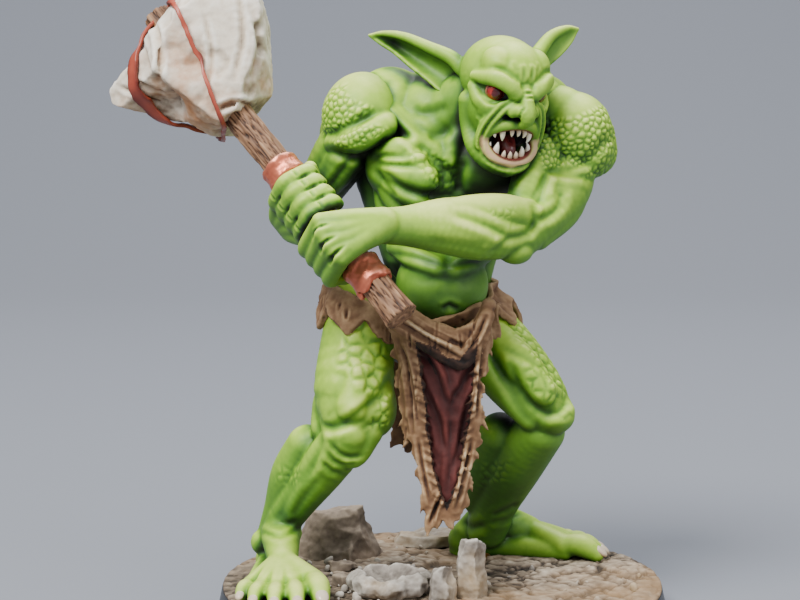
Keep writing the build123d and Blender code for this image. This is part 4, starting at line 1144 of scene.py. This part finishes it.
for vertex in handle.verts:
    x, y, z = toShaft @ vertex.co
    radius, angle = math.hypot(x, y), math.atan2(y, x)
    grainPoint = Vector((math.cos(angle) * 2.6, math.sin(angle) * 2.6, z * 0.16))
    grain = noise.noise(grainPoint * 1.5) * 0.6 + noise.noise(grainPoint * 3.4) * 0.5
    splits = max(0.0, 1 - abs(noise.noise(grainPoint * 1.9 + Vector((5, 3, 1)))) * 7)
    flare = 0.28 * max(0, 1 - z / 3.2) - 0.1 * noise.noise(Vector((angle, 0, z * 0.1)))
    if radius > 1.7:
        scale = (radius + flare + handleShape["grain"] * grain - 0.34 * splits) / radius
        x, y = x * scale, y * scale
        woodTone.append(0.5 + 0.34 * grain - 0.5 * splits)
    else:
        z += (0.12 * noise.noise(Vector((x, y, 0)) * 2.2) - 0.2 * (radius < 0.4)) * (1 if z < 5 else -1)
        woodTone.append(0.42 + 0.5 * math.cos(radius * 9 + 2 * noise.noise(Vector((x, y, 3)))) * 0.35)
    vertex.co = alongShaft @ Vector((x, y, z))
handleMesh = meshOf(handle)
setTone(handleMesh, woodTone)
show("grainedHandle", handleMesh, ["maul_shaft"], woodPaint)

copperPaint = toned("copperPaint", [(0.0, tint(70, 18, 8)), (0.35, tint(164, 70, 50)), (0.65, tint(216, 120, 90)),
                                    (1.0, tint(255, 206, 176))],
                    0.36, (160, 900), (0.16, 0.1), metallic=0.6, bump=(700, 0.15, 0.0001))
ferruleShape = {  # a CAD node, where it starts and stops on the shaft, and how far its foot flares
    "upperFerrule": ("upper_ferrule", 0.434, 0.484, 0.1), "lowerFerrule": ("lower_ferrule", 0.098, 0.165, 0.12),
}
for name, (node, low, high, flare) in ferruleShape.items():
    start, stop = low * (shaftTip - shaftFoot).length, high * (shaftTip - shaftFoot).length
    ring = bmesh.new()
    outline = [(1.6, 0.0), (2.35 + flare, 0.0), (2.5 + flare, 0.12), (2.46 + flare * 0.5, 0.3), (2.4, 0.5),
               (2.42, 0.7),
               (2.5 + flare * 0.3, 0.86), (2.45 + flare * 0.3, 1.0), (1.6, 1.0)]
    line = [ring.verts.new((r, 0, start + s * (stop - start))) for r, s in outline]
    edges = [ring.edges.new(pair) for pair in zip(line, line[1:] + line[:1])]
    bmesh.ops.spin(ring, geom=line + edges, cent=(0, 0, 0), axis=(0, 0, 1), angle=2 * math.pi, steps=64,
                   use_merge=True)
    bmesh.ops.subdivide_edges(ring, edges=ring.edges[:], cuts=1, use_grid_fill=True)
    bmesh.ops.recalc_face_normals(ring, faces=ring.faces)
    for vertex in ring.verts:
        radius = math.hypot(vertex.co.x, vertex.co.y)
        if radius > 1.8:
            swell = 0.12 * noise.noise(vertex.co * 0.6) + 0.05 * noise.noise(vertex.co * 2.2)
            vertex.co.x *= 1 + swell / radius
            vertex.co.y *= 1 + swell / radius
            torn = 0.16 + 0.7 * (vertex.co.z < start + 0.4) * (node == "lower_ferrule")
            vertex.co.z += torn * noise.noise(Vector((vertex.co.x, vertex.co.y, 0.3)) * 0.9)
    bmesh.ops.transform(ring, matrix=alongShaft, verts=ring.verts)
    ferrule = Clay(name, ring, 0.12, 2, 5)
    ferrule.rough(0.9, 0.05, octaves=2)
    finish(ferrule, [node], "ferrule_copper", copperPaint,
           {"tone": toneOf(ferrule, 0.55, fine=0.3, up=0.16)})
print("maul made")


hideStops = [(0.0, tint(20, 8, 4)), (0.28, tint(72, 44, 28)), (0.52, tint(124, 90, 60)), (0.75, tint(176, 142, 104)),
             (1.0, tint(222, 196, 156))]
hidePaint = toned("brownHidePaint", hideStops, 0.78, (150, 700), (0.3, 0.3), bump=(1200, 0.35, 0.0002))
clothPaint = toned("redClothPaint", [(0.0, tint(22, 4, 4)), (0.35, tint(60, 20, 18)), (0.6, tint(88, 32, 27)),
                                     (0.85, tint(124, 54, 44)), (1.0, tint(164, 90, 74))],
                   0.72, (150, 900), (0.2, 0.2), bump=(2000, 0.25, 0.00012))


def insideOutline(u, v, outline):
    inside = False
    for (ax, ay), (bx, by) in zip(outline, outline[1:] + outline[:1]):
        if (ay > v) != (by > v) and u < (bx - ax) * (v - ay) / (by - ay) + ax:
            inside = not inside
    return inside


def panel(name, outline, depth, thickness, voxel, seed,
          tufts=()):  # a hanging sheet cut to an outline on the front view
    low = [min(p[i] for p in outline) for i in (0, 1)]
    high = [max(p[i] for p in outline) for i in (0, 1)]
    step = 0.22
    sheet = bmesh.new()
    bmesh.ops.create_grid(sheet, x_segments=int((high[0] - low[0]) / step), y_segments=int((high[1] - low[1]) / step),
                          size=0.5)
    for vertex in sheet.verts:
        vertex.co = Vector((low[0] + (vertex.co.x + 0.5) * (high[0] - low[0]),
                            low[1] + (vertex.co.y + 0.5) * (high[1] - low[1]), 0))
    bmesh.ops.delete(sheet, geom=[v for v in sheet.verts if not insideOutline(v.co.x, v.co.y, outline)],
                     context="VERTS")
    bmesh.ops.delete(sheet, geom=[v for v in sheet.verts if not v.link_faces], context="VERTS")
    for vertex in sheet.verts:
        vertex.co = at(vertex.co.x, vertex.co.y, depth(vertex.co.x, vertex.co.y))
    bmesh.ops.recalc_face_normals(sheet, faces=sheet.faces)
    sheet = thickened(sheet, thickness)
    for points, radii in tufts:
        addTube(sheet, points, radii)
    return Clay(name, sheet, voxel, 2, seed)


def clothDepth(u, v):
    middle = 0.7 + 0.01 * (v - 30)
    fold = 0.55 * math.cos(1.5 * (u - middle) + 0.12 * v) + 0.35 * math.cos(0.7 * (u - middle) ** 2 / 4 + 0.5 * v)
    return -7.2 + 0.07 * (u - middle) ** 2 - 0.035 * (40 - v) + fold * 0.55


loincloth = {
    "outline": [(-7.0, 39.4), (-6.4, 36.6), (-6.7, 35.0), (-5.7, 34.2), (-6.2, 32.2), (-5.5, 30.6), (-5.9, 28.8),
                (-5.0, 27.2), (-5.5, 25.4), (-4.9, 24.6),
                (-5.2, 23.0), (-4.2, 24.2), (-3.9, 22.0), (-3.2, 20.6), (-3.5, 19.0), (-2.6, 17.9), (-2.9, 15.6),
                (-2.3, 13.9), (-2.5, 12.2), (-2.0, 10.6),
                (-1.2, 12.2), (-0.6, 11.6), (0.1, 13.2), (0.7, 12.4), (1.4, 11.4), (1.7, 13.0), (2.3, 12.8),
                (2.7, 14.6), (3.6, 15.2), (3.3, 17.2),
                (4.0, 18.2), (3.4, 19.9), (4.6, 21.4), (4.3, 22.6), (5.5, 23.4), (4.9, 25.6), (5.6, 27.0),
                (4.9, 29.0), (5.4, 30.6), (4.9, 32.0),
                (6.1, 33.2), (5.7, 35.0), (6.6, 36.6), (6.2, 39.0), (5.9, 41.6), (3.6, 39.6), (1.0, 38.6),
                (-1.7, 39.2), (-4.3, 40.6)],
    "opening": [(-3.6, 37.2), (-3.2, 34.9), (-2.9, 32.5), (-2.6, 30.4), (-2.2, 28.4), (-2.2, 25.3), (-1.6, 23.0),
                (-1.3, 20.2), (-0.4, 17.1),
                (0.6, 14.4), (1.3, 16.0), (2.1, 18.7), (3.0, 23.7), (3.7, 26.7), (3.8, 28.8), (4.0, 31.2),
                (4.3, 34.5), (4.8, 37.8), (3.4, 36.2),
                (2.2, 34.6), (0.6, 35.0), (-1.0, 36.4)],
    "swags": [  # folded hide hanging from the belt: path, radius and depth
              ([(-6.0, 40.4), (-4.0, 39.4), (-1.9, 38.0), (0.4, 36.7), (2.7, 35.3), (4.4, 37.2), (5.8, 40.6)], 1.05,
               -7.9),
              ([(-6.4, 39.4), (-4.5, 38.2), (-1.2, 35.9), (2.2, 34.1), (4.2, 35.7), (5.6, 38.4)], 0.75, -7.9),
              ([(-4.6, 41.0), (-2.4, 39.6), (0.2, 38.4), (3.0, 37.6), (4.8, 39.4), (6.0, 42.0)], 0.95, -7.2)],
    "hideFolds": [
        ([(-6.2, 40.0), (-4.2, 38.8), (-1.8, 37.2), (0.6, 35.8), (2.8, 34.6)], 0.3, 0.4),
        ([(-4.6, 40.4), (-2.2, 38.8), (0.6, 37.4), (2.6, 36.6)], 0.26, 0.4),
        ([(5.6, 40.4), (4.6, 38.0), (3.2, 36.0)], 0.26, 0.5),
        ([(-5.9, 37.4), (-4.9, 33.8), (-4.3, 29.6), (-4.0, 25.0)], 0.24, 0.35),
        ([(-5.2, 36.4), (-4.2, 32.4), (-3.7, 28.0)], 0.2, 0.3),
        ([(5.5, 37.0), (5.0, 32.0), (4.6, 27.0)], 0.24, 0.35), ([(-3.2, 24.0), (-2.6, 20.0), (-1.6, 15.6)], 0.24,
            0.35),
        ([(3.9, 24.0), (3.0, 19.4), (1.8, 14.6)], 0.24, 0.35), ([(-1.7, 12.6), (-0.8, 15.0), (0.0, 16.6)], 0.24, 0.4),
    ],
    "clothFolds": [
        ([(-2.9, 35.9), (-1.1, 33.1), (-0.1, 30.4), (1.2, 27.6)], 0.5, 0.7),
        ([(4.0, 34.5), (2.6, 31.2), (1.8, 29.6), (1.2, 27.6)], 0.5, 0.7),
        ([(-1.9, 30), (-0.6, 26.5), (0.4, 22)], 0.4, 0.45), ([(3.4, 29), (2.4, 24), (1.2, 19)], 0.4, 0.45),
        ([(1.2, 27.6), (1.0, 22), (0.8, 17)], 0.35, 0.4), ([(-0.4, 35.6), (0.8, 32.6), (1.4, 29.4)], 0.4, 0.4),
    ],
    "furLines": 60,
}
chance = random.Random(11)
tufts = []
for side, inward in ((loincloth["opening"][:10], 1), (loincloth["opening"][10:18], -1)):
    for a, b in zip(side, side[1:]):
        for t in (0.2, 0.6):
            u, v = a[0] + (b[0] - a[0]) * t, a[1] + (b[1] - a[1]) * t
            y = clothDepth(u, v) - 0.75
            reach, drop = chance.uniform(0.5, 1.15), chance.uniform(0.25, 0.9)
            path = [(u - 0.7 * inward, v + 0.35, y + 0.2), (u + 0.1 * inward, v - drop * 0.3, y),
                    (u + 0.75 * reach * inward, v - drop, y + 0.25)]
            tufts.append((path, [0.34, 0.3, 0.13]))
for side, outward in ((loincloth["outline"][1:19], -1), (loincloth["outline"][29:43], 1)):
    for a, b in list(zip(side, side[1:]))[::3]:
        u, v = (a[0] + b[0]) / 2, (a[1] + b[1]) / 2
        y = clothDepth(u, v) - 0.45
        path = [(u - 0.5 * outward, v + 0.5, y), (u + 0.1 * outward, v, y - 0.15),
                (u + chance.uniform(0.3, 0.8) * outward, v - chance.uniform(0.5, 1.1), y)]
        tufts.append((path, [0.34, 0.3, 0.1]))
for path, radius, y in loincloth["swags"]:
    tufts.append(([(u, v, y + 0.15 * abs(u)) for u, v in path], [radius] * len(path)))


def furDepth(u, v):
    return clothDepth(u, v) + (0.9 if insideOutline(u, v, loincloth["opening"]) else -0.35)


frontHide = panel("frontHidePanel", loincloth["outline"], furDepth, 0.8, 0.17, 4, tufts)
frontHide.rough(2.4, 0.2, octaves=2)
frontHide.rough(0.9, 0.06, octaves=2)
for path, width, depth in loincloth["hideFolds"]:
    frontHide.groove(path, width, depth, lip=0.5)
for _ in range(loincloth["furLines"]):
    u, v = chance.uniform(-6.5, 6.2), chance.uniform(12, 40)
    lean = chance.uniform(-0.4, 0.4)
    if insideOutline(u, v, loincloth["outline"]) and not insideOutline(u, v, loincloth["opening"]):
        frontHide.groove([(u, v + 1.1), (u + lean * 0.5, v), (u + lean, v - 1.1)], 0.14, 0.13)
where = frontHide.onFront()
edgeShade = np.array([-0.45 if insideOutline(u, v, loincloth["opening"]) else 0.0 for u, v in where])
finish(frontHide, ["front_hide"], "hide_brown", hidePaint,
       {"tone": toneOf(frontHide, 0.5, fine=0.32, broad=0.1, up=0.12) + edgeShade})

redOutline = [(u + (0.35 if u > 0.7 else -0.35), v) for u, v in loincloth["opening"]]
redCloth = panel("redClothPanel", redOutline, lambda u, v: clothDepth(u, v) + 0.25, 0.7, 0.16, 5)
for path, width, depth in loincloth["clothFolds"]:
    redCloth.groove(path, width, depth * 0.75, lip=0.6)
redCloth.rough(1.8, 0.08)
finish(redCloth, ["red_cloth"], "cloth_red", clothPaint,
       {"tone": toneOf(redCloth, 0.46, fine=0.22, broad=0.1, up=0.16)})

# The hide round the hips lies on the flesh that is under it
hipHide = {  # lengths and tops are pairs of an angle, from the front towards the figure's left, and a height
    "centre": (-2.2, 5.0), "lappets": 17, "furLines": 90,
    "lengths": [(0, 4.0), (35, 4.0), (70, 5.2), (105, 7.5), (150, 9.0), (190, 9.5), (240, 8.6), (262, 7.6),
                (285, 6.2), (320, 4.6), (360, 4.0)],
    "tops": [(0, 40.4), (40, 42.6), (80, 44.6), (120, 45.2), (180, 44.8), (240, 45.2), (275, 45.4), (300, 44.0),
             (330, 41.8), (360, 40.4)],
}
fleshTree = treeOf([torso, rightLeg, leftLeg])


def stepwise(stops, angle):
    for (a, low), (b, high) in zip(stops, stops[1:]):
        if a <= angle <= b:
            t = (angle - a) / (b - a)
            return low + (high - low) * t * t * (3 - 2 * t)
    return stops[-1][1]


turns, rows = 220, 26
reach = np.zeros((rows + 1, turns))
heights = np.zeros((rows + 1, turns))
for j in range(turns):
    angle = 360 * j / turns
    top = stepwise(hipHide["tops"], angle)
    place = angle * hipHide["lappets"] / 360 + 0.3 * noise.noise(Vector((angle * 0.05, 0, 0)))
    jag = 1 - abs((place % 1) - 0.5) * 2
    uneven = 0.6 + 0.6 * abs(noise.noise(Vector((math.floor(place) * 0.7, 4, 0))))
    drop = stepwise(hipHide["lengths"], angle) * (0.4 + 0.98 * jag * uneven)
    for i in range(rows + 1):
        z = top - drop * i / rows
        heights[i, j] = z
        a = math.radians(angle)
        direction = Vector((math.sin(a), -math.cos(a), 0))
        hit = fleshTree.ray_cast(Vector((*hipHide["centre"], z)) + direction * 24, -direction, 24)[0]
        reach[i, j] = (hit - Vector((*hipHide["centre"], z))).dot(direction) if hit else 8.0
for _ in range(6):
    reach = (reach + np.roll(reach, 1, 1) + np.roll(reach, -1, 1)) / 3
skirt = bmesh.new()
bmesh.ops.create_grid(skirt, x_segments=turns, y_segments=rows, size=0.5)
for vertex in skirt.verts:
    j, i = round((vertex.co.x + 0.5) * turns), round((0.5 - vertex.co.y) * rows)
    a = 2 * math.pi * j / turns
    r = reach[i, j % turns] + 0.6 + 0.3 * (i / rows) * math.sin(a * hipHide["lappets"] + 0.6)
    r += 0.3 * noise.noise(Vector((a * 5, i * 0.12, 0))) + 0.3 * i / rows
    vertex.co = Vector((hipHide["centre"][0] + r * math.sin(a), hipHide["centre"][1] - r * math.cos(a),
                        heights[i, j % turns]))
bmesh.ops.remove_doubles(skirt, verts=skirt.verts, dist=0.02)
bmesh.ops.recalc_face_normals(skirt, faces=skirt.faces)
waistHide = Clay("hipHide", thickened(skirt, 0.8), 0.2, 2, 6)
waistHide.rough(2.4, 0.25, octaves=2)
waistHide.rough(0.9, 0.07, octaves=2)
for _ in range(hipHide["furLines"]):
    a = chance.uniform(0, 2 * math.pi)
    j = int(a / (2 * math.pi) * turns) % turns
    r = reach[rows // 2, j] + 1.2
    x, y = hipHide["centre"][0] + r * math.sin(a), hipHide["centre"][1] - r * math.cos(a)
    z = heights[0, j] - chance.uniform(0.5, 4.5)
    waistHide.groove([(x, y, z), (x, y, z - chance.uniform(1.4, 3.4))], 0.2, 0.28, front=False)
finish(waistHide, ["waist_hide"], "hide_brown", hidePaint,
       {"tone": toneOf(waistHide, 0.5, fine=0.3, broad=0.08, up=0.12)})

backFlapShape = {"outline": [(-8.4, 40), (-8.6, 34), (-7.4, 30.5), (-7.8, 27), (-6.4, 25.6), (-6.9, 22.6),
                             (-5.2, 23.4), (-4.6, 21.8), (-3.2, 23.6), (-2.2, 21.6), (-0.4, 23.8),
               (1.2, 22.4), (2.2, 25.2), (3.6, 27.4), (3.2, 31), (4.2, 34.6), (4.0, 40)],
                 "depth": 12.0, "thickness": 0.9, "furLines": 30}
backFlap = panel("darkBackFlap", [(u * 1.04, v) for u, v in backFlapShape["outline"]],
                 lambda u, v: backFlapShape["depth"] + 0.5 * math.sin(1.3 * u) + 0.06 * (40 - v),
                 backFlapShape["thickness"], 0.22, 7)
backFlap.rough(1.8, 0.2, octaves=2)
for _ in range(backFlapShape["furLines"]):
    u, v = chance.uniform(-8, 4), chance.uniform(24, 39)
    backFlap.groove([tuple(at(u, v + 1.6, 13.4)), tuple(at(u + chance.uniform(-0.4, 0.4), v - 1.6, 13.4))], 0.25,
                    0.35, front=False)
finish(backFlap, ["back_flap"], "hide_brown", hidePaint,
       {"tone": toneOf(backFlap, 0.34, fine=0.3, up=0.1)})
print("hides made")


groundLook = {
    "stops": [(0.0, tint(26, 20, 16)), (0.25, tint(78, 66, 54)), (0.5, tint(136, 120, 102)),
              (0.75, tint(182, 166, 146)), (1.0, tint(220, 208, 188))],
    "rim": 29.1, "plates": 50, "crack": 0.6, "seed": 21,
}
rockStops = {
    "brown": [(0.0, tint(30, 22, 18)), (0.3, tint(78, 66, 56)), (0.55, tint(120, 106, 92)),
              (0.8, tint(164, 148, 130)), (1.0, tint(206, 194, 176))],
    "pale": [(0.0, tint(44, 36, 32)), (0.3, tint(106, 98, 90)), (0.55, tint(160, 152, 142)),
             (0.8, tint(204, 198, 188)), (1.0, tint(240, 236, 226))],
}
groundPaint = rockFinish("dryGroundPaint", groundLook["stops"], (tint(150, 120, 84), 55), 0.88)
brownPaint = rockFinish("brownRockPaint", rockStops["brown"], (tint(120, 92, 66), 60), 0.85)
palePaint = rockFinish("paleRockPaint", rockStops["pale"], (tint(168, 140, 96), 60), 0.8)
disc = bmesh.new()
rim = groundLook["rim"]
profile = [(r, 5.0) for r in np.linspace(0, rim - 0.3, 120)] + [(rim, 4.75), (rim, 4.3), (0, 4.3)]
line = [disc.verts.new((r, 0, z)) for r, z in profile]
edges = [disc.edges.new(pair) for pair in zip(line, line[1:])]
bmesh.ops.spin(disc, geom=line + edges, cent=(0, 0, 0), axis=(0, 0, 1), angle=2 * math.pi, steps=400, use_merge=True)
bmesh.ops.remove_doubles(disc, verts=disc.verts, dist=0.001)
bmesh.ops.recalc_face_normals(disc, faces=disc.faces)
chance = random.Random(groundLook["seed"])
seeds = []
while len(seeds) < groundLook["plates"]:
    x, y = chance.uniform(-30, 30), chance.uniform(-30, 30)
    if all((x - a) ** 2 + (y - b) ** 2 > 22 for a, b, _ in seeds) or chance.random() < 0.03:
        seeds.append((x, y, chance.uniform(-0.3, 0.45)))  # a plate's place and its height
seedPlace = np.array([(a, b) for a, b, _ in seeds])
groundTone = []
for vertex in disc.verts:
    x, y, z = vertex.co
    tone = 0.4
    if z > 4.6:
        warp = Vector((x * 0.45, y * 0.45, 0))
        u = x + 1.3 * noise.noise(warp) + 0.5 * noise.noise(warp * 3)
        v = y + 1.3 * noise.noise(warp + Vector((7, 3, 0))) + 0.5 * noise.noise(warp * 3 + Vector((1, 9, 0)))
        distance = np.hypot(seedPlace[:, 0] - u, seedPlace[:, 1] - v)
        first, second = np.partition(distance, 1)[:2]
        cell = seeds[int(distance.argmin())][2]
        gap = second - first
        grit = max(0.0, min(1.0, (-x - 4 - 0.3 * y) / 6))  # the ground is looser on the figure's right
        crack = math.exp(-(gap / 0.3) ** 2)
        thin = abs(noise.noise(Vector((u * 0.32, v * 0.32, 4)))) * 9
        crack = max(crack, 0.55 * math.exp(-thin ** 2))
        dome = min(gap / 1.6, 1) * 0.14
        fine = noise.fractal(Vector((x, y, 0)) * 0.9, 1.0, 2.0, 4)
        rise = (cell + dome - groundLook["crack"] * crack) * (1 - 0.75 * grit) + fine * (0.09 + 0.16 * grit)
        if x * x + y * y > (rim - 1.2) ** 2:
            rise = rise * 0.4 - 0.1
        vertex.co.z = max(4.62, 5.0 + rise)
        # painted shade in the cracks and a faint painted highlight where the plates dome up; the plate tone and grit
        # are the ground's own colour
        tone = 0.5 + 0.3 * cell - 0.8 * crack * (1 - 0.6 * grit) + 0.26 * fine + 0.1 * dome - 0.1 * grit
    groundTone.append(min(max(tone, 0.0), 1.0))
groundMesh = meshOf(disc)
setTone(groundMesh, groundTone)
show("crackedGround", groundMesh, ["ground_plate"], groundPaint)
print("ground made")


def rock(name, node, material, slotName, corners, grow, cuts, depth, reach, seed, tone, taper, voxel, rise):
    low, high = (corner * 1000 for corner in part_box(node))
    middle, half = (low + high) / 2, (high - low) / 2 * grow
    half.z *= rise
    chance = random.Random(seed)
    shape = []
    for k in range(corners):
        turn = 2 * math.pi * k / corners * 2
        level = -1 if k < corners // 2 else 1
        spread = (1.0 if level < 0 else taper) * chance.uniform(0.8, 1.05)
        shape.append((middle.x + half.x * spread * math.cos(turn), middle.y + half.y * spread * math.sin(turn),
                      middle.z + half.z * (level if level < 0 else chance.uniform(0.45, 1.0))))
    blank = bmesh.new()
    addHull(blank, shape, world)
    clay = Clay(name, blank, voxel, 1, seed)
    chisel(clay, cuts, depth, reach)
    clay.rough(2.0, 0.22, octaves=3)
    clay.rough(0.7, 0.07, octaves=2)
    finish(clay, [node], slotName, material, {"tone": toneOf(clay, tone, fine=0.26, broad=0.09, up=0.16)})


rocks = {  # node, paint, slot, corners, growth, cuts, their depth and reach, seed, tone, taper, voxel and rise
    "brownBoulder": ("boulder", brownPaint, "rock_brown", 18, 1.3, 22, 0.35, 3.0, 3, 0.46, 0.5, 0.22, 1.0),
    "ledgeStone": ("ledge_stone", palePaint, "rock_pale", 14, 1.1, 12, 0.2, 2.0, 5, 0.42, 0.9, 0.22, 1.0),
    "sideSlab": ("side_slab", brownPaint, "rock_brown", 12, 1.15, 10, 0.2, 1.6, 6, 0.42, 0.85, 0.22, 1.0),
    "cornerSlab": ("corner_slab", brownPaint, "rock_brown", 12, 1.15, 10, 0.2, 1.6, 7, 0.4, 0.85, 0.22, 1.0),
    "tallStandingStone": ("tall_standing_stone", palePaint, "rock_pale", 10, 1.42, 12, 0.3, 2.2, 18, 0.48, 0.8, 0.17,
                          0.8),
    "shortStandingStone": ("short_standing_stone", palePaint, "rock_pale", 10, 1.32, 10, 0.26, 1.8, 23, 0.44, 0.7,
                           0.17, 0.85),
}
for name, values in rocks.items():
    rock(name, *values)

dishShape = {"centre": (-6.8, -6.8), "lumps": 7, "spread": (2.7, 2.1), "lump": (3.2, 2.9, 1.9), "hollow": 4.3,
             "sink": 1.9}
blank = bmesh.new()
for k in range(dishShape["lumps"]):
    a = 2 * math.pi * k / dishShape["lumps"] + 0.3
    x = dishShape["centre"][0] + dishShape["spread"][0] * math.cos(a)
    y = dishShape["centre"][1] + dishShape["spread"][1] * math.sin(a)
    addBall(blank, (x, y, 6.5), dishShape["lump"], (0, 0, 50 * k), world)
dish = Clay("hollowDishStone", blank, 0.2, 2, 9)
chisel(dish, 24, 0.25, 1.8)
offset = dish.points[:, :2] - np.array(dishShape["centre"])
turn = np.arctan2(offset[:, 1], offset[:, 0])
ragged = 0.86 + 0.09 * np.sin(3 * turn + 1) + 0.05 * np.sin(7 * turn)
away = np.hypot(offset[:, 0] / 1.12, offset[:, 1]) / (dishShape["hollow"] * ragged)
sunk = np.clip(1 - away ** 3, 0, 1) * (dish.points[:, 2] > 5.6)
dish.points[:, 2] -= dishShape["sink"] * sunk
dish.refresh()
dish.rough(1.3, 0.16)
dish.rough(0.5, 0.05)
dishPaint = rockFinish("dishStonePaint", rockStops["pale"], (tint(176, 140, 80), 45), 0.8)
# the sunk hollow of the dish is painted shade, on top of the painted shade and highlight from toneOf
finish(dish, ["dish_stone"], "rock_pale", dishPaint,
       {"tone": toneOf(dish, 0.44, fine=0.26, broad=0.12, up=0.12) - 0.12 * sunk})

pebbleShape = {"count": 150, "seed": 31, "small": 0.22, "large": 0.75}
chance = random.Random(pebbleShape["seed"])
blank = bmesh.new()
for k in range(pebbleShape["count"]):
    if k % 3:
        x, y = chance.gauss(-9, 5.5), chance.gauss(-2, 7)
    else:
        turn, r = chance.uniform(0, 2 * math.pi), 27 * math.sqrt(chance.random())
        x, y = r * math.cos(turn), r * math.sin(turn)
    if math.hypot(x, y) > 27.4:
        continue
    size = pebbleShape["small"] + (pebbleShape["large"] - pebbleShape["small"]) * chance.random() ** 2.5
    matrix = Matrix.Translation((x, y, 5.1 + size * 0.3)) @ Euler([chance.uniform(0,
        3) for _ in range(3)]).to_matrix().to_4x4()
    bmesh.ops.create_icosphere(blank, subdivisions=2, radius=size,
                               matrix=matrix @ Matrix.Diagonal((1.2, 0.9, 0.65, 1)))
for vertex in blank.verts:
    vertex.co += 0.16 * noise.noise_vector(vertex.co * 1.7)
pebbleMesh = meshOf(blank)
# painted highlight on the pebbles' tops and painted shade on their undersides
setTone(pebbleMesh, [0.5 + 0.2 * v.normal.z for v in pebbleMesh.vertices])
show("loosePebbles", pebbleMesh, ["pebbles"], palePaint)

rimPaint = PaintFinish("blackRimPaint", 0.42, coat=0.1)
rimPaint.set({"Base Color": rimPaint.ramp(rimPaint.noise(90, 4), [(0.3, tint(14, 16, 20)), (0.7, tint(30, 34, 40))])})
rimPaint.bump(rimPaint.noise(1600, 4), 0.12, 0.0001)
pinPaint = plain("brassPinMetal", tint(190, 150, 84), 0.3, metallic=1.0)
for node in frame["nodes"]:
    if node == "base_plinth" or node.endswith("_pin"):
        for slot in frame["nodes"][node].material_slots:
            slot.material = rimPaint.material if node == "base_plinth" else pinPaint
print("base made")


stageLook = {"floor": tint(134, 138, 147), "key": 8.5, "fill": 1.6, "rim": 3.0, "world": 0.72,
             "sky": (0.78, 0.8, 0.84, 1), "lens": 100.0, "tilt": 7.2}


def addLight(name, place, target, size, energy, colour=(1, 1, 1)):
    light = bpy.data.lights.new(name, "AREA")
    light.shape, light.size, light.energy, light.color = "DISK", size, energy, colour
    lamp = bpy.data.objects.new(name, light)
    lamp.location = place
    lamp.rotation_euler = (Vector(target) - Vector(place)).to_track_quat("-Z", "Y").to_euler()
    bpy.context.scene.collection.objects.link(lamp)


sweep = bmesh.new()
curve = [(0.35 + 0.45 * math.sin(a), 0.45 - 0.45 * math.cos(a)) for a in np.linspace(0.1, math.pi / 2, 14)]
profile = [(-2.0, 0.0), (0.35, 0.0)] + curve + [(0.8, 2.5)]  # the floor runs back and then up in one curve
line = [sweep.verts.new((-2.5, y, z)) for y, z in profile]
edges = [sweep.edges.new(pair) for pair in zip(line, line[1:])]
side = bmesh.ops.extrude_edge_only(sweep, edges=edges)["geom"]
bmesh.ops.translate(sweep, verts=[g for g in side if isinstance(g, bmesh.types.BMVert)], vec=(5.0, 0, 0))
floorMesh = meshOf(sweep)
floorMesh.materials.append(plain("paleFloor", stageLook["floor"], 0.8))
floorMesh.polygons.foreach_set("use_smooth", [True] * len(floorMesh.polygons))
floor = bpy.data.objects.new("floor", floorMesh)
bpy.context.scene.collection.objects.link(floor)

addLight("keySoftbox", (-0.30, -0.40, 0.62), (0, 0, 0.045), 0.34, stageLook["key"], (1.0, 0.985, 0.96))
addLight("fillSoftbox", (0.55, -0.45, 0.25), (0, 0, 0.04), 0.5, stageLook["fill"], (0.95, 0.98, 1.0))
addLight("topSoftbox", (0.1, 0.25, 0.6), (0, 0, 0.05), 0.4, stageLook["rim"])
studio = bpy.data.worlds.new("studio")
bpy.context.scene.world = studio
studio.use_nodes = True
sky = studio.node_tree.nodes["Background"].inputs
sky["Color"].default_value, sky["Strength"].default_value = stageLook["sky"], stageLook["world"]

camera = bpy.data.objects.new("camera", bpy.data.cameras.new("camera"))
camera.data.lens, camera.data.sensor_width, camera.data.clip_start = stageLook["lens"], 36.0, 0.01
camera.location = frontEye * 0.001
camera.rotation_euler = (math.radians(90 - stageLook["tilt"]), 0, 0)
bpy.context.scene.collection.objects.link(camera)
bpy.context.scene.camera = camera
print("stage set")
